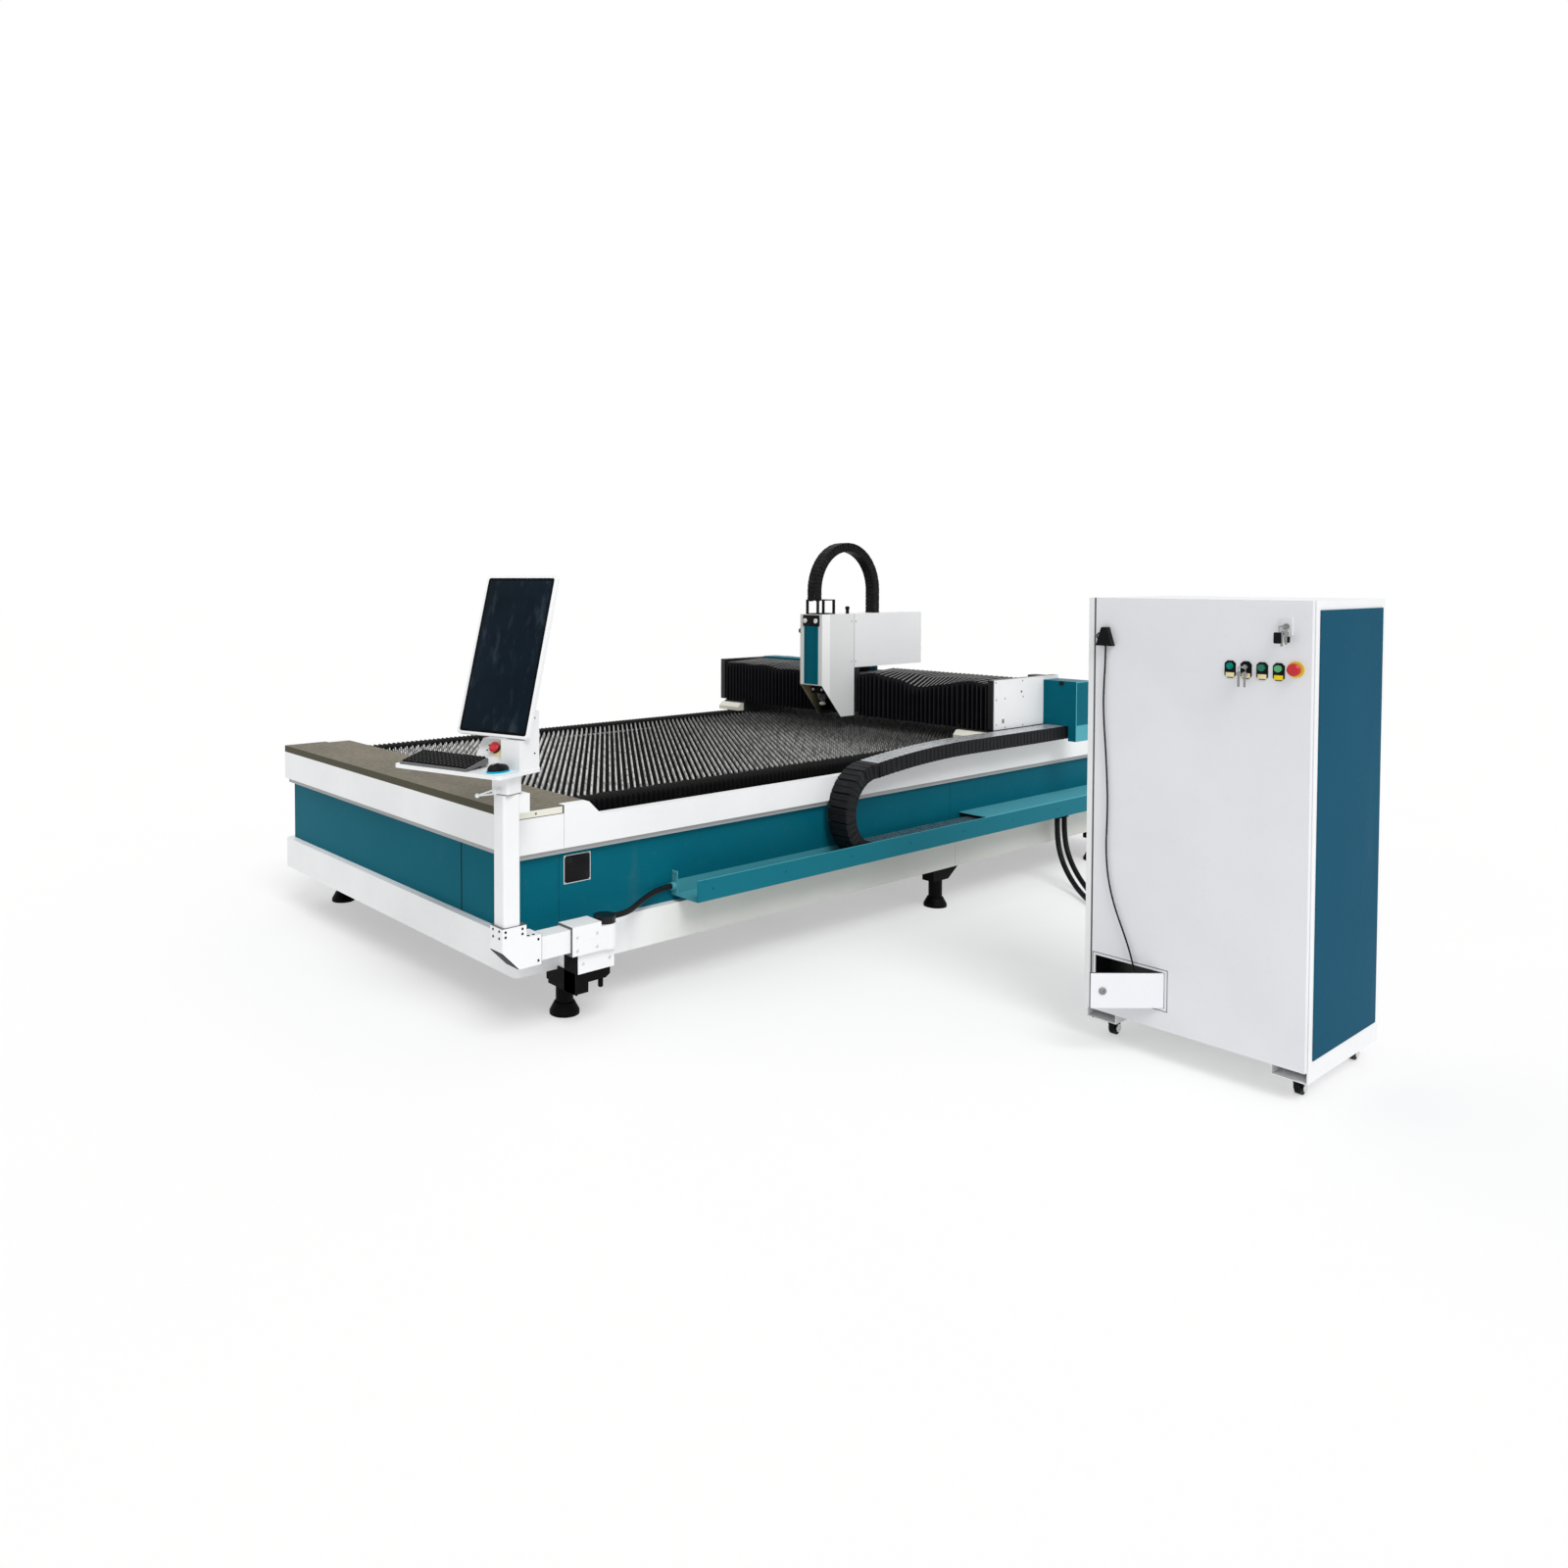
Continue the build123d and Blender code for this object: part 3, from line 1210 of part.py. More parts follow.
control_offsets = [lamp_offset + i * control_step for i in range(5)]
lamp_seat, key_seat, start_seat, stop_seat, alarm_seat = [door_seat(d, control_z) for d in control_offsets]
lock_seat = door_seat(lock_offset, lock_z)
stem_radius_door = control_radius - control_bezel_height
for seat in (key_seat, start_seat, stop_seat):
    door -= seat * hole(stem_radius_door + button_gap, door_thickness)
door -= alarm_seat * hole(estop_neck_radius + estop_hole_gap, door_thickness)
door -= lock_seat * hole(lock_radius + button_gap, door_thickness)


def ring(outer, bore, height):
    """Bezel ring standing on its seat."""
    return Pos(0, 0, height / 2) * (Cylinder(outer, height) - Cylinder(bore, height))


bezels = [lamp_seat * (Pos(0, 0, control_bezel_height / 2) * Cylinder(control_bezel, control_bezel_height))]
lens = make_face(Polyline((0, control_bezel_height), (control_radius, control_bezel_height),
                          (control_radius * 0.8, button_height), (0, button_height), close=True))
bezels.append(lamp_seat * revolve(Plane.XZ * lens, Axis.Z))
for seat in (key_seat, start_seat, stop_seat):
    bezels.append(seat * ring(control_bezel, control_radius + button_gap, control_bezel_height))
bezels.append(alarm_seat * ring(estop_head_radius * 1.3, estop_neck_radius + estop_hole_gap,
                                control_bezel_height / 2))
lock_plate = Pos(0, 0, lock_plate_depth / 2) * Box(lock_plate_width, lock_plate_height, lock_plate_depth)
lock_plate -= Pos(0, 0, lock_plate_depth / 2) * Cylinder(lock_radius + button_gap, lock_plate_depth)
bezels.append(lock_seat * lock_plate)


def button():
    """Flat push button, its stem through the door."""
    cap = make_face(Polyline((0, -door_thickness / 2), (stem_radius_door, -door_thickness / 2),
                             (stem_radius_door, button_travel), (control_radius, button_travel),
                             (control_radius, button_height), (0, button_height), close=True))
    return revolve(Plane.XZ * cap, Axis.Z)


save("start_button", start_seat * button())
save("stop_button", stop_seat * button())
save("cabinet_estop", alarm_seat * mushroom())


def key_turn(radius, stem):
    """Lock barrel with its key."""
    barrel = Pos(0, 0, (button_height - stem) / 2) * Cylinder(radius, button_height + stem)
    bow_plate = Pos(0, 0, button_height + key_length / 2) * Box(key_width, key_thickness, key_length)
    return barrel + bow_plate


save("key_switch", key_seat * key_turn(stem_radius_door, door_thickness / 2))
save("door_lock", lock_seat * key_turn(lock_radius, door_thickness / 2))

# Flap: shallow pan hinged at the recess's right edge, standing open
flap_y_hinge = flap_y0 + flap_gap
flap = block(cabinet_front_x, cabinet_front_x + flap_depth, flap_y_hinge, flap_y1 - flap_gap,
             flap_bottom + flap_gap, flap_top - flap_gap)
flap -= block(cabinet_front_x + flap_sheet, cabinet_front_x + flap_depth, flap_y_hinge + flap_sheet,
              flap_y1 - flap_gap - flap_sheet, flap_bottom + flap_gap + flap_sheet,
              flap_top - flap_gap - flap_sheet)
open_flap = Pos(cabinet_front_x, flap_y_hinge,
                0) * Rot(0, 0, flap_angle) * Pos(-cabinet_front_x, -flap_y_hinge, 0)
save("cabinet_flap", open_flap * flap)

# Clip near the door's upper left corner, cord hanging from it into the pocket's socket
clip_y1 = door_left_y - clip_left
clip_mid = clip_y1 - clip_width / 2
clip_outline = [(clip_mid - clip_width / 2, clip_bottom), (clip_mid + clip_width / 2, clip_bottom),
                (clip_mid + clip_width / 6, clip_bottom + clip_height),
                (clip_mid - clip_width / 6, clip_bottom + clip_height)]
clip = along(clip_outline, cabinet_front_x - clip_depth, cabinet_front_x)
save("door_fittings", *bezels, clip)
socket_y = door_left_y - cord_end_offset
socket_x = pocket_x1 - pocket_sheet - socket_depth
socket = block(socket_x, pocket_x1 - pocket_sheet, socket_y - socket_size / 2, socket_y + socket_size / 2,
               cord_end_z - socket_size / 2, cord_end_z + socket_size / 2)
save("cabinet_door", door, pocket + socket)


def cord(name, points, radius):
    """Cord through the points, with arcs as large as the runs allow."""
    spots = [Vector(*p) for p in points]
    runs = [b - a for a, b in zip(spots[:-1], spots[1:])]
    radii = []
    for a, b in zip(runs[:-1], runs[1:]):
        turn = math.radians(a.get_angle(b))
        radii.append(0.45 * min(a.length, b.length) / math.tan(turn / 2))
    path = FilletPolyline(*spots, radius=radii)
    section = Plane(origin=path @ 0, z_dir=path % 0) * RegularPolygon(radius, cord_sides)
    tube = sweep(section, path=path)
    share = tube.volume / (section.area * path.length)
    print(name, "least radius", round(min(radii), 1), "longest run",
          round(max(r.length for r in runs), 1), "volume share", round(share, 5))
    return tube


# Door cord: out from the door, down from its left edge, hanging into the pocket
cord_out = clip_depth * 0.4
hang = [(42, clip_bottom), (42, 1376), (38, 1302), (36, 1220), (41, 1136), (48, 1052),
        (53, 968), (57, 884), (56, 800), (53, 716), (58, 634), (71, 562), (92, 494),
        (118, 432), (141, 374), (156, 326)]
entry = [(6, 163, 287), (-22, 167, 260), (-58, cord_end_offset, cord_end_z)]
cord_points = [(cabinet_front_x - cord_out, door_left_y - d, z) for d, z in hang]
cord_points += [(cabinet_front_x - out, door_left_y - d, z) for out, d, z in entry]
cord_points.append((socket_x, socket_y, cord_end_z))
save("door_cord", cord("door_cord", cord_points, cord_radius))

# Conduit from the hinge cap to the tray
conduit_x0 = hinge_x + cap_radius + boss_length
conduit_x1 = tray_start_x - gland_length
conduit_points = [(conduit_x0, hinge_y, cap_mid_z), (conduit_x0 + conduit_lead, hinge_y, cap_mid_z),
                  (469, -85, 400), (516, -58, 402), (564, -30, 404), (612, -6, 408),
                  (660, 9, 414), (conduit_x1 - conduit_lead, conduit_end_y, conduit_end_z),
                  (conduit_x1, conduit_end_y, conduit_end_z)]
save("console_conduit", cord("console_conduit", conduit_points, conduit_radius))

# Two cables from the tray down to the floor and up to the cabinet's rear
cable_top = tray_floor_z - cable_gland_length
cable_end = cabinet_rear_x + cable_gland_length
cable_points = [(cable_start_x, cable_start_y, cable_top),
                (cable_start_x, cable_start_y, cable_top - cable_drop), (3450, -104, 146),
                (3372, -208, 64), (3246, -362, 20), (3010, -640, 17), (2830, -900, 19),
                (2690, -1150, 26), (2600, -1330, 66), (2520, -1446, 146), (2434, -1494, 222),
                (cable_end + cable_lead, cable_y, cable_entry_z), (cable_end, cable_y, cable_entry_z)]
cables = []
for i in range(2):
    shifted = []
    for k, (x, y, z) in enumerate(cable_points):
        share = min(1, max(0, (k - 1) / (len(cable_points) - 3)))
        shifted.append((x + i * (1 - share) * cable_step_x, y - i * share * cable_step_y, z))
    cables.append(cord(f"cabinet_cable_{i + 1}", shifted, cable_radius))
save("cabinet_cables", *cables)
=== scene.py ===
from math import asin, cos, pi, radians, sin

import bmesh
import bpy
from mathutils import Matrix, Vector


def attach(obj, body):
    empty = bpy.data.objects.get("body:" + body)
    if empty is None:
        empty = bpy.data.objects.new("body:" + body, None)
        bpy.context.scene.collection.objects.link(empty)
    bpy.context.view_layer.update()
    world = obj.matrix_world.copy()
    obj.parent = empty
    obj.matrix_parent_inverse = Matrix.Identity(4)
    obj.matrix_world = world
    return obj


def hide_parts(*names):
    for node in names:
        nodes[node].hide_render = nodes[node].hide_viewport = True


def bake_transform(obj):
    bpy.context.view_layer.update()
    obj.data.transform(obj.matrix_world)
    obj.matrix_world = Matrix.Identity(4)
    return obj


# Flatbed laser cutting machine: finishes, fine parts, cords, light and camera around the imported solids.
# Lengths in the tables below are millimetres from the bed's front right corner on the floor.

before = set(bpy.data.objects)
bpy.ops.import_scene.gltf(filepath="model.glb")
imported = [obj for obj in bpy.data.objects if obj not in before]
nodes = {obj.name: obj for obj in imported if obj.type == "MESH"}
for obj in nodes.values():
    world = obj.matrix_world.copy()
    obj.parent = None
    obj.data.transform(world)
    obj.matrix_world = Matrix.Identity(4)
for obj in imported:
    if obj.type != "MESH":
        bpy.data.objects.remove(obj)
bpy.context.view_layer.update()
bpy.context.scene.view_settings.view_transform = "Standard"
FOOT = Vector((274.0, 80.0, 0.0))
MIRROR_Y = 2140.0
FORWARD, RIGHTWARD, UPWARD = (-1, 0, 0), (0, -1, 0), (0, 0, 1)


def at(x, y, z):
    """Point in metres from the front right foot, the model's origin."""
    return (Vector((x, y, z)) - FOOT) / 1000


def linked(name, data):
    """New object in the scene."""
    made = bpy.data.objects.new(name, data)
    bpy.context.scene.collection.objects.link(made)
    return made


# Camera, where the photograph was taken
camera_data = bpy.data.cameras.new("photo_camera")
camera_data.lens = 26.496
camera_data.sensor_width = 36.0
camera_data.shift_x = 0.0972
camera_data.shift_y = -0.1092
camera_data.clip_end = 200.0
camera = linked("photo_camera", camera_data)
YAW, PITCH = radians(51.328), radians(-1.789)
aim = Vector((cos(YAW) * cos(PITCH), sin(YAW) * cos(PITCH), sin(PITCH)))
camera.location = at(-2271, -3513, 1677)
camera.rotation_euler = aim.to_track_quat("-Z", "Y").to_euler()
bpy.context.scene.camera = camera


class Signal:
    """One output socket of a node tree; arithmetic on it adds Math nodes."""

    def __init__(self, bench, socket):
        self.bench = bench
        self.socket = socket

    def maths(self, operation, *values):
        return self.bench.add("ShaderNodeMath", {"operation": operation}, dict(enumerate(values)))

    def __add__(self, other):
        return self.maths("ADD", self, other)

    def __sub__(self, other):
        return self.maths("SUBTRACT", self, other)

    def __rsub__(self, other):
        return self.maths("SUBTRACT", other, self)

    def __mul__(self, other):
        return self.maths("MULTIPLY", self, other)

    __radd__, __rmul__ = __add__, __mul__

    def __gt__(self, other):
        return self.maths("GREATER_THAN", self, other)

    def __lt__(self, other):
        return self.maths("LESS_THAN", self, other)

    def most(self, other):
        return self.maths("MAXIMUM", self, other)

    def wave(self):
        return self.maths("SINE", self)

    def between(self, low, high):
        return (self > low) * (self < high)


class Bench:
    """A node tree under construction: one method adds any node, Signal does the maths."""

    def __init__(self, tree):
        self.tree = tree

    def add(self, kind, settings, inputs, output=0):
        """Adds a node: settings first, then values or links of its sockets; gives one output."""
        node = self.tree.nodes.new(kind)
        for key, value in settings.items():
            setattr(node, key, value)
        for key, value in inputs.items():
            if isinstance(value, Signal):
                self.tree.links.new(value.socket, node.inputs[key])
            else:
                node.inputs[key].default_value = value
        return Signal(self, node.outputs[output])


class Finish(Bench):
    """A material under construction, with the piece's own coordinates in bed millimetres."""

    def __init__(self, name, **constants):
        self.material = bpy.data.materials.new(name)
        self.material.use_nodes = True
        super().__init__(self.material.node_tree)
        self.shader = self.tree.nodes["Principled BSDF"]
        for socket, value in constants.items():
            self.shader.inputs[socket.replace("_", " ")].default_value = value
        self.place = self.add("ShaderNodeTexCoord", {}, {}, "Object")
        spots = [self.add("ShaderNodeSeparateXYZ", {}, {0: self.place}, i) for i in range(3)]
        self.x, self.y, self.z = (spot * 1000 + shift for spot, shift in zip(spots, FOOT))

    def noise(self, scale, detail=3.0, roughness=0.55, stretch=None):
        """Soft noise from 0 to 1 over the piece."""
        place = self.place
        if stretch:
            place = self.add("ShaderNodeMapping", {}, {"Vector": place, "Scale": stretch}, "Vector")
        return self.add("ShaderNodeTexNoise", {"noise_dimensions": "3D"},
                        {"Vector": place, "Scale": scale, "Detail": detail, "Roughness": roughness}, "Fac")

    def mix(self, factor, first, second):
        """Mixes two colours; a tuple is a colour."""
        first = (*first, 1) if isinstance(first, tuple) else first
        second = (*second, 1) if isinstance(second, tuple) else second
        return self.add("ShaderNodeMix", {"data_type": "RGBA"}, {0: factor, 6: first, 7: second}, 2)

    def ramp(self, value, low, high):
        """Smooth rise from 0 to 1 between two values."""
        return self.add("ShaderNodeMapRange", {"interpolation_type": "SMOOTHSTEP"},
                        {"Value": value, "From Min": low, "From Max": high})

    def give(self, socket, value):
        self.tree.links.new(value.socket, self.shader.inputs[socket])

    def bump(self, height, strength, distance):
        relief = {"Height": height, "Strength": strength, "Distance": distance}
        self.give("Normal", self.add("ShaderNodeBump", {}, relief, "Normal"))


def hue(red, green, blue):
    """Linear colour from the 0 to 255 values seen on a screen."""
    return tuple(((c / 255 + 0.055) / 1.055) ** 2.4 if c > 10 else c / 3294.6 for c in (red, green, blue))


def dimmed(colour, share):
    return tuple(c * share for c in colour)


WHITE = hue(240, 241, 242)
TEAL = hue(8, 98, 116)
LIT_TEAL = hue(86, 164, 178)
CREAM = hue(232, 230, 216)
BLACK = hue(14, 14, 16)
GREY = hue(150, 152, 152)
SEAM = hue(96, 98, 98)
STEEL = hue(150, 150, 148)
DUST = hue(150, 142, 128)


def sprayed(name, colour, gloss=0.36, tints=(), dust=1.0, shine=0.3):
    """Sprayed paint: cloudy tone, dust, orange peel; tints lay other colours where a mask says."""
    f = Finish(name, Specular_IOR_Level=shine)
    cloud = f.ramp(f.noise(1.7, 4), 0.3, 0.75)
    specks = f.noise(36, 5, 0.65)
    streak = f.noise(5, 4, 0.6, (1, 1, 0.12))
    base = f.mix(cloud, colour, dimmed(colour, 0.93))
    for mask, tint in tints:
        base = f.mix(mask(f), base, f.mix(cloud, tint, dimmed(tint, 0.92)))
    soil = f.ramp(specks, 0.55, 0.8) * 0.05 + f.ramp(streak, 0.62, 0.8) * 0.05
    f.give("Base Color", f.mix(soil * dust, base, DUST))
    f.give("Roughness", gloss + (specks - 0.5) * 0.14 + (cloud - 0.5) * 0.05)
    f.bump(f.noise(260, 2), 0.03, 0.0008)
    return f.material


def metal(name, colour, gloss, scratch=(1, 1, 40), wear=0.3):
    """Bare metal with brushed lines and handling marks."""
    f = Finish(name)
    lines = f.noise(30, 3, 0.6, scratch)
    marks = f.noise(9, 5, 0.65)
    f.give("Base Color", f.mix(f.ramp(marks, 0.35, 0.75) * wear, colour, dimmed(colour, 0.55)))
    f.give("Roughness", gloss + (lines - 0.5) * 0.3 + (marks - 0.5) * 0.15)
    f.give("Metallic", 0.92 - f.ramp(marks, 0.6, 0.85) * 0.3)
    f.bump(lines, 0.08, 0.0006)
    return f.material


def moulded(name, colour, gloss=0.45, tints=(), scuffs=0.06, shine=0.1):
    """Moulded plastic: fine eroded grain, faint scuffs."""
    f = Finish(name, Specular_IOR_Level=shine)
    scuff = f.noise(18, 5, 0.65)
    grains = f.noise(900, 2)
    base = f.mix(f.ramp(scuff, 0.5, 0.8) * scuffs, colour, GREY)
    for mask, tint in tints:
        base = f.mix(mask(f), base, tint)
    f.give("Base Color", base)
    f.give("Roughness", gloss + (scuff - 0.5) * 0.2 + (grains - 0.5) * 0.08)
    f.bump(grains, 0.1, 0.0004)
    return f.material


def woven(name, colour, tints=()):
    """Coated bellows cloth: fine weave, dusty folds; tints fade in by their own share."""
    f = Finish(name, Specular_IOR_Level=0.05)
    weave = (f.x * 3.1).wave() * (f.y * 3.1).wave() * (f.z * 3.1).wave()
    dust = f.noise(14, 5, 0.7)
    base = f.mix(f.ramp(dust, 0.5, 0.85) * 0.2, colour, hue(52, 52, 54))
    for share, tint in tints:
        base = f.mix(share(f) * (dust * 0.8 + 0.4), base, tint)
    f.give("Base Color", base)
    f.give("Roughness", 0.55 + (dust - 0.5) * 0.25)
    f.bump(weave + f.noise(160, 3), 0.12, 0.0008)
    return f.material


def outside(value, low, high):
    """1 below low and above high."""
    return (value < low) + (value > high)


FAR = 9999.0


def zone(x=None, y=None, z=None):
    """Mask of a box, given by its ends on each axis that bounds it."""
    def mask(f):
        first, *others = (spot.between(*ends) for spot, ends in ((f.x, x), (f.y, y), (f.z, z)) if ends)
        for other in others:
            first = first * other
        return first
    return mask


# Plain finishes
white_paint = sprayed("white_paint", WHITE)
teal_paint = sprayed("teal_paint", TEAL, shine=0.02)
frame_paint = sprayed("frame_paint", hue(11, 11, 12), 0.5, dust=0.25, shine=0.06)
dark_paint = sprayed("dark_paint", hue(40, 41, 43), 0.48, dust=0.5, shine=0.15)
plate_steel = metal("plate_steel", STEEL, 0.42)
head_aluminium = metal("head_aluminium", hue(196, 198, 200), 0.3, (1, 1, 12))
# Bright metal of the strips on the chain's top: painted highlight
bar_aluminium = metal("bar_aluminium", hue(206, 209, 212), 0.3, wear=0.2)
caster_steel = metal("caster_steel", hue(170, 172, 174), 0.28)
chrome = metal("chrome", hue(214, 216, 218), 0.16, wear=0.1)
black_plastic = moulded("black_plastic", BLACK)
bezel_plastic = moulded("bezel_plastic", hue(8, 8, 10), 0.4, shine=0.04)
chain_plastic = moulded("chain_plastic", hue(26, 27, 30), 0.5)
rusty_plastic = moulded("rusty_plastic", hue(62, 48, 40), 0.6, scuffs=0.2)
key_plastic = moulded("key_plastic", hue(12, 12, 14), 0.4)
key_bed = moulded("key_bed", hue(108, 110, 112), 0.5)
white_plastic = moulded("white_plastic", hue(236, 237, 236), 0.35, shine=0.3)
cyan_plastic = moulded("cyan_plastic", hue(0, 160, 196), 0.4)
pad_plastic = moulded("mouse_pad", hue(206, 232, 238), 0.6)
pale_plate = moulded("pale_plate", hue(236, 222, 176), 0.5)
yellow_plate = moulded("yellow_plate", hue(240, 214, 40))
red_plastic = moulded("red_plastic", hue(196, 36, 46), 0.3, shine=0.35)
green_plastic = moulded("green_plastic", hue(0, 112, 84), 0.3, shine=0.35)
pale_green = moulded("pale_green", hue(84, 168, 112), 0.3, shine=0.35)
fork_plastic = moulded("caster_fork", hue(20, 20, 22), 0.35, shine=0.3)
cord_rubber = moulded("cord_rubber", hue(22, 22, 24), 0.5)
wheel_rubber = moulded("caster_rubber", hue(18, 18, 20), 0.5)

# Paints that change colour over one piece
# Skirt: greyer along the right side, the painted shade of the tray above it; panels: seam in front, grey
# reveal above
skirt_paint = sprayed("skirt_paint", WHITE, 0.4, [
    (lambda f: f.ramp(f.x, 450, 1000) * (f.y < 2), hue(214, 215, 209))], dust=2.0)
panel_paint = sprayed("panel_paint", TEAL, tints=[
    (zone((34, 36), (441, 449)), hue(10, 24, 28)), (lambda f: f.z > 636.5, hue(176, 178, 178))], shine=0.02)
# Chain tray: paler inside as painted light, and along its lip as painted highlight; black below; chain box:
# pale edges of its right face, painted highlight
tray_paint = sprayed("tray_paint", hue(24, 112, 128), tints=[
    # Paler inside: painted light; paler lip: painted highlight
    (zone(y=(-122.9, 34), z=(382.5, 466)), hue(74, 152, 164)),
    (lambda f: f.z > 466.5, LIT_TEAL), (lambda f: f.z < 379.5, BLACK)], shine=0.04)
# Pale edges of the chain box's right face: painted highlight of its folds
box_paint = sprayed("box_paint", TEAL, 0.34, [
    (lambda f: (f.y < -171) * (outside(f.x, 3475, 3614) + outside(f.z, 873, 1104)), LIT_TEAL)], shine=0.02)
# Cabinet: teal sides, black rear, mounting plate, seam beside the door; door: seam and pocket of the flap
cabinet_paint = sprayed("cabinet_paint", WHITE, 0.34, [
    (lambda f: outside(f.y, -2040.1, -1294.9), hue(14, 80, 106)), (lambda f: f.x > 2220.2, BLACK),
    (zone((2170, 2217), (-2035, -1300), (118, 1596)), hue(190, 176, 130)),
    (zone((-FAR, 1641), (-1320.5, -1315.5)), SEAM)], shine=0.008)
flap_face = zone((-FAR, 1621), (-1600, -1324), (177, 323))
door_paint = sprayed("door_paint", hue(234, 235, 239), 0.34, [
    (lambda f: flap_face(f) * (outside(f.y, -1597, -1327) + outside(f.z, 180, 320)), SEAM),
    (zone((1625, 1732), (-1592, -1330), (186, 314)), BLACK)])
# Console: black cap on the bracket, seams of the arm and of the collar
bracket_paint = sprayed("bracket_paint", WHITE, tints=[(lambda f: f.z > 385.2, BLACK)])
arm_paint = sprayed("arm_paint", WHITE, tints=[
    (lambda f: f.x.between(18.6, 21) + f.x.between(148.5, 150.5) + f.z.between(453.5, 455.5), SEAM)])
collar_paint = sprayed("collar_paint", WHITE, tints=[(lambda f: f.z < 921.5, SEAM)])
# Gantry: black middle, cream wipers; housing: rear seam, bright front edge as painted highlight, dark inside
# as painted shade, left wall lit towards the front as painted light
gantry_paint = sprayed("gantry_paint", WHITE, 0.34, [
    (zone(y=(24.5, MIRROR_Y - 24.5)), BLACK), (lambda f: f.x < 2999, CREAM)])
# Housing: painted highlight on the front edge, painted shade inside, painted light on the left wall
housing_paint = sprayed("housing_paint", hue(232, 235, 234), 0.34, [
    (lambda f: f.x > 2977.5, SEAM), (zone((2700.5, 2766), (-FAR, 954)), hue(255, 255, 255)),
    (zone((2700, FAR), (954.5, 1119.5), (-FAR, 1458)), hue(24, 23, 22)),
    (lambda f: f.y.between(1116, 1119.5) * f.ramp(f.x, 2900, 2740) * (f.z < 1458), hue(196, 180, 146))])
# Door fittings: green lamp, pale lock plate, yellow collar of the stop
fittings = moulded("door_fittings", BLACK, 0.4, [
    (zone((-FAR, 1615.9), (-1808, -1776)), hue(0, 132, 118)),
    (zone(y=(-1985, -1945), z=(1480, 1560)), hue(228, 229, 233)),
    (zone(y=(-2025, -1962), z=(1350, 1420)), hue(232, 206, 70))])
nameplate_finish = moulded("nameplate", hue(20, 20, 22), 0.4, [
    (lambda f: outside(f.x, 242, 362) + outside(f.z, 514, 618), hue(214, 216, 216))])
# Bellows cloth: paler crest tops over the rails, paler top and crest fronts on the gantry: painted highlight
rail_cloth = woven("rail_cloth", hue(8, 8, 9), [(lambda f: f.ramp(f.z, 794, 800), hue(20, 20, 21))])
beam_cloth = woven("bellows_cloth", hue(12, 12, 15), [
    (lambda f: f.ramp(f.x, 3007, 3000), hue(38, 38, 43)),
    (lambda f: f.ramp(f.z, 1088, 1106), hue(20, 20, 22))])
# Light-grey strips on the crests of the gantry's bellows: painted highlight
crest_highlight_cloth = woven("bellows_edges", hue(126, 126, 126))


def ledge_finish():
    """Worn steel of the front ledge: darker front face, cream stop plates with a seam and a hole."""
    f = Finish("ledge_steel", Specular_IOR_Level=0.1)
    grain = f.noise(60, 5, 0.7)
    smear = f.noise(3, 4, 0.6, (1, 0.3, 1))
    tone = f.mix(f.ramp(grain + smear, 0.75, 1.25), hue(124, 117, 101), hue(98, 92, 77))
    tone = f.mix(f.x < 0.5, tone, hue(76, 72, 58))
    end_face = outside(f.y, 0.5, MIRROR_Y - 0.5)
    tone = f.mix(end_face, tone, CREAM)
    hole = ((f.x - 90) * (f.x - 90) + (f.z - 806) * (f.z - 806)) < 20
    tone = f.mix(end_face * (hole + outside(f.x, 6, 209) + outside(f.z, 794, 819)), tone, SEAM)
    f.give("Base Color", tone)
    f.give("Roughness", 0.55 + (grain - 0.5) * 0.3)
    f.give("Metallic", f.ramp(smear, 0.4, 0.7) * 0.2)
    f.bump(grain, 0.1, 0.001)
    return f.material


def slat_finish():
    """Burnt slats: black with slag; bright tips and ends, worn steel with painted highlight; darker towards
    the rear, with the painted shade of the gantry near it.
    """
    f = Finish("slat_steel", Specular_IOR_Level=0.2)
    burn = f.noise(34, 5, 0.7)
    slag = f.noise(140, 3)
    # Bright tips and ends: worn steel with painted highlight of their lit edges
    bright = f.ramp(f.z, 774, 792).most(outside(f.y, 272, MIRROR_Y - 272) * (f.z > 735))
    tone = f.mix(f.ramp(burn, 0.35, 0.7), hue(14, 14, 14), hue(30, 29, 28))
    # Darker towards the rear; the second step, before the gantry, is its painted shade
    rear_fade_and_gantry_shade = 1 - f.ramp(f.x, 700, 2300) * 0.42 - f.ramp(f.x, 2200, 2800) * 0.4
    worn = f.ramp(f.noise(23, 2), 0.34, 0.58) * 0.58 + 0.42
    f.give("Base Color", f.mix(bright * rear_fade_and_gantry_shade * worn, tone, hue(250, 250, 248)))
    f.give("Roughness", 0.58 + (burn - 0.5) * 0.3)
    f.give("Metallic", 0.1 + slag * 0.15)
    f.bump(slag + burn, 0.25, 0.0015)
    return f.material


def screen_finish():
    """Dark screen with smudges and wipe marks."""
    f = Finish("screen_glass", Specular_IOR_Level=0.015)
    smudge = f.noise(7, 4, 0.6)
    wipes = f.noise(22, 5, 0.6, (1, 1, 0.25))
    tone = f.mix(smudge, hue(12, 19, 26), hue(24, 36, 46))
    f.give("Base Color", f.mix(f.ramp(wipes, 0.5, 0.8) * 0.3, tone, hue(84, 98, 108)))
    f.give("Roughness", 0.2 + smudge * 0.15)
    return f.material


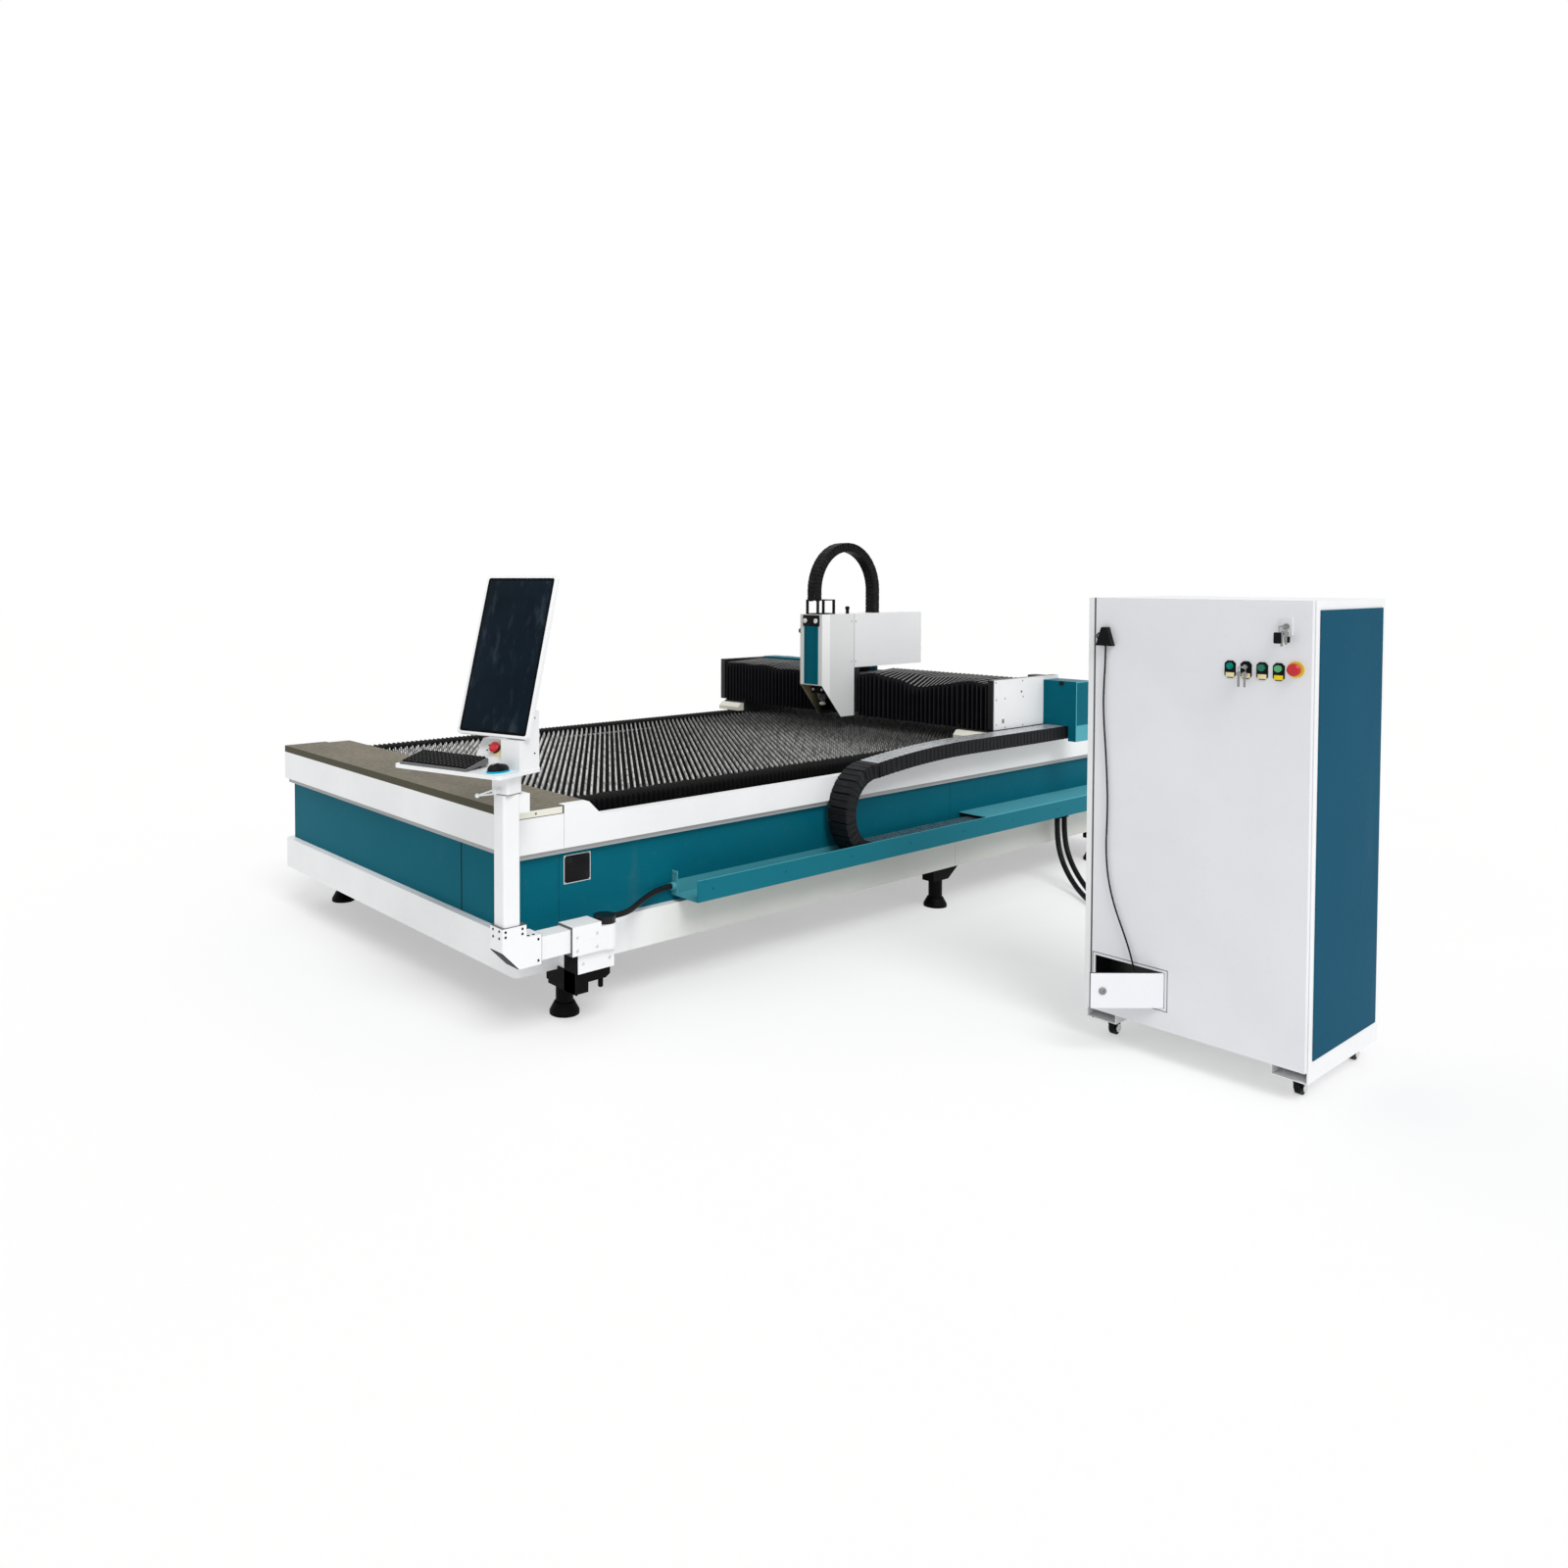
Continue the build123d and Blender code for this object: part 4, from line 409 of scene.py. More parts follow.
slat_steel, screen_glass = slat_finish(), screen_finish()
NODE_FINISHES = (
    (white_paint, "upper_covers rear_box console_post console_box monitor_housing clamp_lever"),
    (frame_paint, "bed_side_beams bed_cross_beams legs_and_feet"),
    (dark_paint, "gantry_beam saddles y_carriage"),
    (plate_steel, "x_rails_and_racks y_rails_and_rack door_lock"), (door_paint, "cabinet_door cabinet_flap"),
    (chain_plastic, "x_chain_lower_run x_chain_bend x_chain_upper_run arch_chain"),
    (cord_rubber, "console_conduit cabinet_cables door_cord"), (rail_cloth, "x_bellows_front x_bellows_rear"),
    (beam_cloth, "bellows_left bellows_right"), (black_plastic, "z_slide keyboard mouse"),
    (red_plastic, "console_estop cabinet_estop"), (green_plastic, "start_button"),
    (pale_green, "stop_button"), (caster_steel, "key_switch"), (head_aluminium, "cutting_head"),
    (ledge_finish(), "ledge_plate"),
    (slat_steel, "slats"), (screen_glass, "monitor_screen"), (panel_paint, "bed_panels"),
    (skirt_paint, "skirts"), (tray_paint, "chain_tray"), (bracket_paint, "console_wall_bracket"),
    (cabinet_paint, "cabinet_body"),
    (gantry_paint, "gantry_ends"), (box_paint, "chain_box"), (housing_paint, "z_housing"),
    (arm_paint, "console_arm"), (collar_paint, "console_tray"), (fittings, "door_fittings"),
    (fork_plastic, "caster_fork_1 caster_fork_2 caster_fork_3 caster_fork_4"),
    (wheel_rubber, "caster_wheel_1 caster_wheel_2 caster_wheel_3 caster_wheel_4"))
node_finish = {name: finish for finish, names in NODE_FINISHES for name in names.split()}
for name, node in nodes.items():
    node.data.materials.clear()
    node.data.materials.append(node_finish[name])

# Slots that the finishes of added pieces stand for; the rest is black plastic
SLOTS = {"white_paint": (white_paint, white_plastic, pale_plate, yellow_plate),
         "teal_paint": (teal_paint,), "frame_paint": (frame_paint, dark_paint),
         "plate_steel": (plate_steel, slat_steel), "caster_steel": (caster_steel, chrome),
         "bellows_cloth": (rail_cloth, beam_cloth, crest_highlight_cloth), "screen_glass": (screen_glass,)}
SLOT_OF = {finish: slot for slot, finishes in SLOTS.items() for finish in finishes}


# Geometry Nodes recipes for what repeats
def recipe(name, **sizes):
    """Geometry Nodes tree with a mesh, named sizes and a finish as inputs."""
    tree = bpy.data.node_groups.new(name, "GeometryNodeTree")
    for label, kind in {"Mesh": "Geometry", **sizes, "Finish": "Material"}.items():
        tree.interface.new_socket(label, in_out="INPUT", socket_type="NodeSocket" + kind)
    tree.interface.new_socket("Mesh", in_out="OUTPUT", socket_type="NodeSocketGeometry")
    bench = Bench(tree)
    source = tree.nodes.new("NodeGroupInput")
    return bench, {socket.name: Signal(bench, socket) for socket in source.outputs if socket.name}


def closed(bench, given, copies):
    """Ends a recipe: real copies, touching points joined, one finish."""
    whole = bench.add("GeometryNodeRealizeInstances", {}, {0: copies})
    joined = bench.add("GeometryNodeMergeByDistance", {}, {0: whole, "Distance": 1e-6})
    painted = bench.add("GeometryNodeSetMaterial", {}, {0: joined, "Material": given["Finish"]})
    bench.tree.links.new(painted.socket, bench.tree.nodes.new("NodeGroupOutput").inputs[0])
    return bench.tree


def rowed():
    """Copies in rows and columns."""
    bench, given = recipe("copies_in_rows", Count="Int", Step="Vector", Rows="Int", RowStep="Vector")
    copies = given["Mesh"]
    for count, step in (("Count", "Step"), ("Rows", "RowStep")):
        spread = {"Count": given[count], "Offset": given[step]}
        line = bench.add("GeometryNodeMeshLine", {"mode": "OFFSET"}, spread)
        copies = bench.add("GeometryNodeInstanceOnPoints", {}, {"Points": line, "Instance": copies})
    return closed(bench, given, copies)


def set_out(bench, given, points, turn):
    """Copies of the given shape on points, turned."""
    shape = bench.add("GeometryNodeObjectInfo", {}, {"Object": given["Shape"]}, "Geometry")
    spots = {"Points": points, "Instance": shape, "Rotation": turn}
    return closed(bench, given, bench.add("GeometryNodeInstanceOnPoints", {}, spots))


def followed():
    """Copies of a shape along a path, their X axis along it."""
    bench, given = recipe("copies_on_path", Count="Int", Shape="Object")
    path = bench.add("GeometryNodeMeshToCurve", {}, {0: given["Mesh"]})
    spread = {"Curve": path, "Count": given["Count"]}
    points = bench.add("GeometryNodeCurveToPoints", {"mode": "COUNT"}, spread)
    tangent = Signal(bench, points.socket.node.outputs["Tangent"])
    aimed = {"axis": "X", "pivot_axis": "Y"}
    turn = bench.add("FunctionNodeAlignRotationToVector", aimed, {"Vector": tangent})
    return set_out(bench, given, points, turn)


def spotted():
    """Copies of a shape at listed points, their Z axis turned to one side."""
    bench, given = recipe("copies_at_points", Facing="Vector", Shape="Object")
    points = bench.add("GeometryNodeMeshToPoints", {}, {0: given["Mesh"]})
    turn = bench.add("FunctionNodeAlignRotationToVector", {"axis": "Z"}, {"Vector": given["Facing"]})
    return set_out(bench, given, points, turn)


ROWED, FOLLOWED, SPOTTED = rowed(), followed(), spotted()


class Stock:
    """Mesh in the making, fed with bed millimetres; put moves a point into the bed first."""

    def __init__(self, put=None, origin=at):
        self.bm = bmesh.new()
        self.put = put or (lambda x, y, z: (x, y, z))
        self.origin = origin

    def skin(self, rings, capped=True, looped=False):
        """Skin over rings of equally many points; looped joins the last ring to the first."""
        loops = [[self.bm.verts.new(self.origin(*self.put(*p))) for p in ring] for ring in rings]
        for a, b in zip(loops, loops[1:] + loops[:1] * looped):
            for i, v in enumerate(a):
                j = (i + 1) % len(a)
                self.bm.faces.new((v, a[j], b[j], b[i]))
        if capped and not looped:
            self.bm.faces.new(loops[0])
            self.bm.faces.new(loops[-1])
        return self

    def prism(self, axis, low, high, outline, trim=0.0, shrink=0.0):
        """Outline pulled along an axis; trim slants its end by shrinking the last ring towards the middle."""
        put = AXES[axis]
        mid = [sum(v) / len(outline) for v in zip(*outline)]
        small = [tuple(m + (c - m) * (1 - shrink) for c, m in zip(p, mid)) for p in outline]
        rings = [[put(low, *p) for p in outline], [put(high - trim, *p) for p in outline]]
        if trim:
            rings.append([put(high, *p) for p in small])
        return self.skin(rings)

    def block(self, x0, x1, y0, y1, z0, z1, edge=0.0):
        """Box with rounded edges."""
        before = set(self.bm.edges)
        self.prism("z", z0, z1, [(x0, y0), (x1, y0), (x1, y1), (x0, y1)])
        if edge:
            fresh = [e for e in self.bm.edges if e not in before]
            bmesh.ops.bevel(self.bm, geom=fresh, offset=edge / 1000, segments=2, profile=0.5, affect="EDGES")
        return self

    def lathe(self, centre, axis, profile, sides=20, looped=False):
        """Turned form: rings of (radius, distance along the axis) about a centre."""
        axis = Vector(axis).normalized()
        first = axis.orthogonal().normalized()
        second = axis.cross(first)
        turns = [2 * pi * (i + 0.5) / sides for i in range(sides)]
        spokes = [first * cos(a) + second * sin(a) for a in turns]
        rings = [[tuple(Vector(centre) + axis * along + spoke * radius) for spoke in spokes]
                 for radius, along in profile]
        return self.skin(rings, looped=looped)

    def mesh(self, name, crease=32.0):
        """Finished mesh, smooth up to the crease angle."""
        for face in self.bm.faces:
            face.smooth = True
        creased(self.bm, crease)
        mesh = bpy.data.meshes.new(name)
        self.bm.to_mesh(mesh)
        self.bm.free()
        return mesh

    def place(self, name, finish, body, *replaced, crease=32.0, slot=None):
        """Ends the mesh and puts it on its body."""
        return placed(name, self.mesh(name, crease), finish, body, *replaced, slot=slot)

    def place_row(self, name, finish, body, *replaced, **steps):
        """Ends the mesh and puts copies of it on its body."""
        return placed(name, row(name, self.mesh(name + "_one"), finish, **steps), None, body, *replaced)


def creased(bm, angle):
    """Turns faces outwards and makes edges beyond an angle sharp."""
    bmesh.ops.recalc_face_normals(bm, faces=bm.faces)
    for edge in bm.edges:
        edge.smooth = edge.is_manifold and edge.calc_face_angle(0) < radians(angle)


AXES = {"x": lambda a, p, q: (a, p, q), "y": lambda a, p, q: (p, a, q), "z": lambda a, p, q: (p, q, a)}


def placed(name, mesh, finish, body, *replaced, slot=None):
    """Finished piece on its body; its slot, given or following from the finish, is worked out but not kept.
    """
    if finish:
        mesh.materials.clear()
        mesh.materials.append(finish)
    piece = linked(name, mesh)
    if body:
        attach(piece, body)
    slot or SLOT_OF.get(mesh.materials[-1], "black_plastic")
    if replaced:
        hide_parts(*replaced)
    return piece


def repeated(name, mesh, tree, finish, **sizes):
    """Runs a recipe on a mesh and gives the result as a plain mesh."""
    holder = linked(name + "_pattern", mesh)
    step = holder.modifiers.new("recipe", "NODES")
    step.node_group = tree
    sizes["Finish"] = finish
    for item in tree.interface.items_tree:
        if item.in_out == "INPUT" and item.name in sizes:
            step[item.identifier] = sizes[item.name]
    bpy.context.view_layer.update()
    done = bpy.data.meshes.new_from_object(holder.evaluated_get(bpy.context.evaluated_depsgraph_get()))
    holder.modifiers.remove(step)
    bpy.data.objects.remove(holder)
    done.name = name
    return done


def row(name, mesh, finish, count, step, rows=1, row_step=(0, 0, 0)):
    """Copies of a mesh in rows; steps in millimetres."""
    return repeated(name, mesh, ROWED, finish, Count=count, Step=[s / 1000 for s in step],
                    Rows=rows, RowStep=[s / 1000 for s in row_step])


def strewn(name, points, edges, shape_mesh, tree, finish, **sizes):
    """Runs a recipe that copies a shape over points or a path of bed millimetres."""
    base = bpy.data.meshes.new(name + "_base")
    base.from_pydata([at(*p) for p in points], edges, [])
    shape = linked(name + "_shape", shape_mesh)
    done = repeated(name, base, tree, finish, Shape=shape, **sizes)
    bpy.data.objects.remove(shape)
    return done


def here(x, y, z):
    """Point of a shape that recipes place, in metres about its own origin."""
    return Vector((x, y, z)) / 1000


SCREW_HEAD = ((1, 0.3), (0.8, 0.45), (0.45, 0.45), (0.4, 0.15))


def screws(name, seats, facing, radius, finish, body):
    """Socket screw heads at places on one face."""
    profile = [(radius, -0.5)] + [(across * radius, up * radius) for across, up in SCREW_HEAD]
    head = Stock(origin=here).lathe((0, 0, 0), UPWARD, profile, 12)
    heads = strewn(name, seats, [], head.mesh(name + "_head"), SPOTTED, finish, Facing=facing)
    placed(name, heads, None, body)


def grid(xs, ys, zs):
    """Every point of the listed places on the three axes."""
    return [(x, y, z) for x in xs for y in ys for z in zs]


def cord(name, points, thickness, node, body, **facts):
    """Round cord on a smooth line through its control points."""
    line = bpy.data.curves.new(name, "CURVE")
    line.dimensions = "3D"
    line.bevel_depth = thickness / 2
    line.bevel_resolution = 4
    line.use_fill_caps = True
    line.resolution_u = 12
    spline = line.splines.new("NURBS")
    spline.points.add(len(points) - 1)
    for spot, p in zip(spline.points, points):
        spot.co = (*p, 1)
    spline.order_u = 3
    spline.use_endpoint_u = True
    line.materials.append(cord_rubber)
    piece = linked(name, line)
    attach(piece, body)
    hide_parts(node)


def share_of(value, start, end):
    """How far a value has come from start to end, from 0 to 1."""
    return max(0.0, min(1.0, (value - start) / (end - start)))


# Cords: the door's lead, the console's hose, two cables to the cabinet
DOOR_X, DOOR_LEFT, LEAD_OUT = 1620.0, -1322.0, 9.6
HANG = [(42, 1432), (42, 1376), (38, 1302), (36, 1220), (41, 1136), (48, 1052), (53, 968),
        (57, 884), (56, 800), (53, 716), (58, 634), (71, 562), (92, 494), (118, 432), (141, 374), (156, 326)]
ENTRY = [(6, 163, 287), (-22, 167, 260), (-58, 168, 247), (-95, 168, 247)]
door_spots = [(LEAD_OUT, *spot) for spot in HANG] + ENTRY
door_points = [at(DOOR_X - out, DOOR_LEFT - d, z) for out, d, z in door_spots]
cord("door_lead", door_points, 0.006, "door_cord", "cabinet_door", length=1.27,
     far_end="object", stiffness="limp", lay="hanging")
CONDUIT = [(380, -100, 398.5), (424, -100, 398.5), (469, -85, 400), (516, -58, 402),
           (564, -30, 404), (612, -6, 408), (660, 9, 414), (713, 16, 421), (757, 16, 421)]
cord("console_hose", [at(*p) for p in CONDUIT], 0.022, "console_conduit", "bed",
     length=0.4, far_end="object", stiffness="stiff", lay="taut")
CABLE = [(3480, -62, 356), (3480, -62, 251), (3450, -104, 146), (3372, -208, 64),
         (3246, -362, 20), (3010, -640, 17), (2830, -900, 19), (2690, -1150, 26),
         (2600, -1330, 66), (2520, -1446, 146), (2434, -1494, 222), (2339, -1500, 250), (2244, -1500, 250)]
TRAY_GAP, GLAND_GAP = 70, 80
for i, cable_length in enumerate((2.22, 2.31)):
    shifted = []
    for k, (x, y, z) in enumerate(CABLE):
        share = share_of(k, 1, 11)
        shifted.append(at(x + i * (1 - share) * TRAY_GAP, y - i * share * GLAND_GAP, z))
    cord(f"cabinet_cable_{i + 1}", shifted, 0.028, "cabinet_cables", "bed", length=cable_length,
         far_end="object", stiffness="stiff", lay="loose")

# Slats: one toothed slat, repeated along the bed; a tooth is a list of (share of its step, drop)
SLAT_X, SLAT_STEP, SLAT_COUNT, SLAT_THICK = 372.0, 33.0, 102, 4.0
SLAT_Y0, SLAT_Y1, SLAT_LOW, SLAT_HIGH = 251.0, 1889.0, 690.0, 800.0
TEETH, TOOTH = 38, 40.0
TOOTH_FORM = ((0, TOOTH), (0.27, 0), (0.4, 0), (0.37, TOOTH))
tooth_step = (SLAT_Y1 - SLAT_Y0) / TEETH
slat_outline = [(SLAT_Y0, SLAT_LOW)]
for i in range(TEETH):
    slat_outline += [(SLAT_Y0 + (i + share) * tooth_step, SLAT_HIGH - drop) for share, drop in TOOTH_FORM]
slat_outline += [(SLAT_Y1, SLAT_HIGH - TOOTH), (SLAT_Y1, SLAT_LOW)]
slat = Stock().prism("x", SLAT_X, SLAT_X + SLAT_THICK, slat_outline)
slat.place_row("toothed_slats", slat_steel, "bed", "slats", count=SLAT_COUNT, step=(SLAT_STEP, 0, 0))

# Pieces that stretch between two bodies are cut where their share of the motion passes these values
SHARES = (0, 0.02, 0.1, 0.25, 0.5, 0.75, 0.9, 0.98, 1)
HALF_SHARES = (0, 0.05, 0.2, 0.5)


def lengths_of(shares):
    """Places where a smooth step reaches the shares, and lengths of the cuts for an even pull."""
    spots = [0.5 - sin(asin(1 - 2 * share) / 3) for share in shares]
    pairs = zip(spots, spots[1:])
    pulls = [(b - a) * max(6 * t * (1 - t) for t in (a, b, 0.5) if a <= t <= b) for a, b in pairs]
    return spots, [pull / sum(pulls) for pull in pulls]


def stretching(name, start, end, shares, node, make):
    """Cuts a run and places each cut; make(label, low, high) gives a cut's meshes."""
    start, end = Vector(start), Vector(end)
    spots, lengths = lengths_of(shares)
    done = 0.0
    for i, length in enumerate(lengths):
        low, high = start.lerp(end, done), start.lerp(end, min(1.0, done + length))
        done += length
        whole = (high - low) / (spots[i + 1] - spots[i])
        zero = low - whole * spots[i]
        for label, mesh in make(f"{name}_{i + 1}", low, high):
            piece = placed(label, mesh, None, None, node)
            at(*(zero + whole))
            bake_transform(piece)


def bellows(label, low, high, pitch, outline, folds, axis, finish, shape=None):
    """Pleated tube of closed folds between two places on an axis; folds lists (share of the pitch, drop)."""
    count = max(1, round((high - low).length / pitch))
    step = (high - low) / count
    spots = [((low + step * share)["xy".index(axis)], drop) for share, drop in folds]
    rings = [[AXES[axis](spot, p, q) for p, q in outline(drop)] for spot, drop in spots]
    pleats = row(label, Stock().skin(rings, capped=False).mesh(label + "_fold"), finish, count, step)
    whole = bmesh.new()
    whole.from_mesh(pleats)
    bmesh.ops.holes_fill(whole, edges=[e for e in whole.edges if e.is_boundary], sides=0)
    if shape:
        for v in whole.verts:
            v.co = shape(v.co)
    creased(whole, 40.0)
    whole.to_mesh(pleats)
    whole.free()
    return pleats


# Bellows over the X rails, both sides of the bed
RAIL_COVER = (105.0, 230.0, 726.0, 800.0)
RAIL_PITCH, RAIL_FOLDS = 26.0, ((0, 11), (0.22, 4), (0.4, 0.8), (0.5, 0), (0.6, 0.8), (0.78, 4), (1, 11))
CLOTH, TURN = 3.0, 9.0


def rail_cover(drop):
    """Section of the right rail's bellows, drawn in by the drop of a fold."""
    y0, y1, z0, z1 = RAIL_COVER[0] + drop, RAIL_COVER[1] - drop, RAIL_COVER[2], RAIL_COVER[3] - drop
    outer = [(y0, z0), (y0, z1 - TURN), (y0 + TURN, z1), (y1 - TURN, z1), (y1, z1 - TURN), (y1, z0)]
    inner = [(y0 + CLOTH, z0), (y0 + CLOTH, z1 - TURN), (y0 + TURN, z1 - CLOTH),
             (y1 - TURN, z1 - CLOTH), (y1 - CLOTH, z1 - TURN), (y1 - CLOTH, z0)]
    return outer + inner[::-1]


def left_rail_cover(drop):
    return [(MIRROR_Y - y, z) for y, z in rail_cover(drop)][::-1]


def rail_bellows(name, x0, x1, node):
    for side, outline in (("right", rail_cover), ("left", left_rail_cover)):
        def cut(label, low, high):
            return [(label, bellows(label, low, high, RAIL_PITCH, outline, RAIL_FOLDS, "x", rail_cloth))]
        stretching(f"{name}_{side}", (x0, 0, 0), (x1, 0, 0), SHARES, node, cut)


rail_bellows("front_rail_bellows", 335.0, 2989.5, "x_bellows_front")
rail_bellows("rear_rail_bellows", 3630.5, 4430.0, "x_bellows_rear")

# Bellows on the gantry, both sides of the head, with a sagging upper edge
GANTRY_X, BELLOWS_MID, BELLOWS_REAR, BELLOWS_LOW, BELLOWS_TOP = 3000.0, 3120.0, 3330.0, 862.0, 1125.0
BEAM_PITCH, BEAM_FOLDS, EDGE_FOLDS = 30.0, ((0, 20), (0.42, 1.2), (0.58, 0), (1, 20)), ((0.36, 0), (0.64, 0))
RIGHT_RUN, LEFT_RUN, RIGHT_DIP, LEFT_DIP = (60.0, 952.5), (1121.5, 2080.0), 42, 16
HEAD_Y = 1037.0
SAG_RISE, DROOP_REACH, LIP = (1000, 1110), (BELLOWS_REAR, BELLOWS_REAR - 260), (3100, 3030)


def beam_cover(drop):
    """Section of the gantry's bellows, drawn in by the drop of a fold."""
    x, z = GANTRY_X + drop, BELLOWS_TOP - drop
    outer = [(x, BELLOWS_LOW), (x, 1010), (x, z - 16), (x + 6, z - 5), (x + 18, z),
             (BELLOWS_MID, z), (BELLOWS_REAR, z)]
    inner = [(p + CLOTH, q - CLOTH) for p, q in outer[1:-1]]
    return outer + [(BELLOWS_REAR, z - CLOTH)] + inner[::-1] + [(x + CLOTH, BELLOWS_LOW)]


def beam_crest_highlight(drop):
    """Section of the bright strip on top of a fold, the painted highlight of its lit crest."""
    front, low, high = GANTRY_X + 16, BELLOWS_TOP - drop - 1.2, BELLOWS_TOP - drop + 0.6
    return [(front, low), (BELLOWS_MID, low), (BELLOWS_REAR, low), (BELLOWS_REAR, high),
            (BELLOWS_MID, high), (front, low + 0.6)]


def sagged(co):
    """Lets the upper front edge droop unevenly and dip between its stays."""
    x, y, z = co * 1000 + FOOT
    droop = 8 + 8 * sin(y / 47) * sin(y / 131 + 0.6) + 6 * sin(y / 83 + 2)
    upper = share_of(z, *SAG_RISE) * share_of(x, *DROOP_REACH)
    run, depth = (RIGHT_RUN, RIGHT_DIP) if y < HEAD_Y else (LEFT_RUN, LEFT_DIP)
    dip = depth * sin(pi * share_of(y, *run)) ** 2
    lip = share_of(z, *SAG_RISE) * share_of(x, *LIP)
    return co - Vector((0, 0, (max(0, droop) * upper + dip * lip) / 1000))


def beam_bellows(label, low, high):
    """Cloth and bright crest strips of one cut; the strips are painted highlight."""
    kinds = ((label, beam_cover, BEAM_FOLDS, beam_cloth),
             (label + "_edges", beam_crest_highlight, EDGE_FOLDS, crest_highlight_cloth))
    return [(name, bellows(name, low, high, BEAM_PITCH, outline, folds, "y", finish, sagged))
            for name, outline, folds, finish in kinds]


for side, (y0, y1), bodies in (("right", RIGHT_RUN, ("gantry", "carriage")),
                               ("left", LEFT_RUN, ("carriage", "gantry"))):
    stretching(f"beam_bellows_{side}", (0, y0, 0), (0, y1, 0), SHARES,
               f"bellows_{side}", beam_bellows)


# Drag chains: ribbed side plates with a tongue to the next link, cover bars across
COVER, WALL = 6.0, 7.0
PAIR = (-0.25, 0.25)


def chamfered(p0, p1, q0, q1, cut):
    """Rectangle with its corners cut off."""
    return [(p0, q0 + cut), (p0 + cut, q0), (p1 - cut, q0), (p1, q0 + cut), (p1, q1 - cut),
            (p1 - cut, q1), (p0 + cut, q1), (p0, q1 - cut)]


def link_sides(length, width, height, middle=(0, 0, 0), origin=at):
    """Side plates of one link, ribbed outside, with a tongue that reaches into the next link."""
    stock = Stock(origin=origin)
    mx, my, mz = middle
    half, h = length / 2, height / 2 - COVER / 2
    body = chamfered(mx - half + 0.6, mx + half - 0.6, mz - h, mz + h, h * 0.12)
    tongue = chamfered(mx + half * 0.5, mx + half * 1.4, mz - h * 0.86, mz + h * 0.86, h * 0.3)
    for side in (-1, 1):
        out = my + side * width / 2
        stock.prism("y", out - side * WALL, out - side * 2, body)
        stock.prism("y", out - side * (WALL + 1), out - side * 4, tongue)
        for share in (-0.45, 0.45):
            spot = mx + share * half
            rib = chamfered(spot - half * 0.34, spot + half * 0.34, mz - h * 0.86, mz + h * 0.86, h * 0.14)
            stock.prism("y", out - side * 3, out, rib, side * 1.2, 0.05)
    return stock.mesh("link_sides")


def link_covers(length, width, height, middle=(0, 0, 0), origin=at, bar=0.2, spread=1.0):
    """Pairs of cover bars above and below one link; spread draws out those below it, outside a bend."""
    stock = Stock(origin=origin)
    mx, my, mz = middle
    for face in (-1, 1):
        out = mz + face * height / 2
        reach = length * (spread if face < 0 else 1)
        for share in PAIR:
            a, b = mx + (share - bar) * reach, mx + (share + bar) * reach
            section = [(a, out - face * COVER), (b, out - face * COVER), (b, out - face * 1.8),
                       (b - 2.2, out), (a + 2.2, out), (a, out - face * 1.8)]
            stock.prism("y", my - width / 2 + 1, my + width / 2 - 1, section)
    return stock.mesh("link_covers")


def link_strips(length, width, height, middle):
    """Bright metal strips on the upper cover bars of one link: painted highlight of the chain's lit top."""
    stock = Stock()
    mx, my, mz = middle
    top = mz + height / 2
    for share in PAIR:
        a, b = mx + (share - 0.18) * length, mx + (share + 0.18) * length
        strip = [(a, top - 0.5), (b, top - 0.5), (b - 0.5, top + 0.8), (a + 0.5, top + 0.8)]
        stock.prism("y", my - width / 2 + 2, my + width / 2 - 2, strip)
    return stock.mesh("link_strips")


CHAIN_WIDTH, CHAIN_HEIGHT, CHAIN_Y, LINK = 110.0, 70.0, -56.0, 65.0
CHAIN_LOW, CHAIN_HIGH, BEND_X, BEND_R, BEND_LINKS = 418.0, 832.0, 1900.0, 185.0, 11
UPPER_END, LOWER_END = 3520.0, 2752.0
SAG, SAG_X = 44.0, 2620.0


def hung(mesh):
    """Lets the upper run sag towards the bend."""
    for v in mesh.vertices:
        short = max(0.0, SAG_X - (v.co.x * 1000 + FOOT.x)) / (SAG_X - BEND_X)
        v.co.z -= SAG * short ** 2 / 1000
    return mesh


def chain_cut(z, side_finish, shape=lambda mesh: mesh):
    """Cut of a straight run at a height, with bright strips on top as painted highlight."""
    def make(label, low, high):
        count = max(1, round((high - low).length / LINK))
        step = (high - low) / count
        size = (abs(step.x), CHAIN_WIDTH, CHAIN_HEIGHT, (low.x + step.x / 2, CHAIN_Y, z))
        # Strips on the top only: painted highlight of the chain's lit top and glints
        kinds = (("sides", link_sides, side_finish), ("covers", link_covers, side_finish),
                 ("strips", link_strips, bar_aluminium))
        return [(f"{label}_{kind}", shape(row(f"{label}_{kind}", link(*size), finish, count, step)))
                for kind, link, finish in kinds]
    return make


stretching("chain_upper", (UPPER_END, 0, 0), (BEND_X, 0, 0), SHARES,
           "x_chain_upper_run", chain_cut(CHAIN_HIGH, chain_plastic, hung))
stretching("chain_lower", (LOWER_END, 0, 0), (BEND_X, 0, 0), HALF_SHARES,
           "x_chain_lower_run", chain_cut(CHAIN_LOW, rusty_plastic))


def arc(x, z, radius, first, last, y, steps=48):
    angles = [radians(first + (last - first) * i / steps) for i in range(steps + 1)]
    return [(x + radius * cos(a), y, z + radius * sin(a)) for a in angles]


def curved_links(name, path, count, size, spread, finish, body, node):
    """Chain along a curved path: one piece of side plates, one of cover bars."""
    steps = [(i, i + 1) for i in range(len(path) - 1)]
    pieces = []
    for kind, mesh in (("sides", link_sides(*size, origin=here)),
                       ("covers", link_covers(*size, origin=here, bar=0.235, spread=spread))):
        links = strewn(f"{name}_{kind}", path, steps, mesh, FOLLOWED, finish, Count=count)
        pieces.append(placed(f"{name}_{kind}", links, None, body, node))
    return pieces


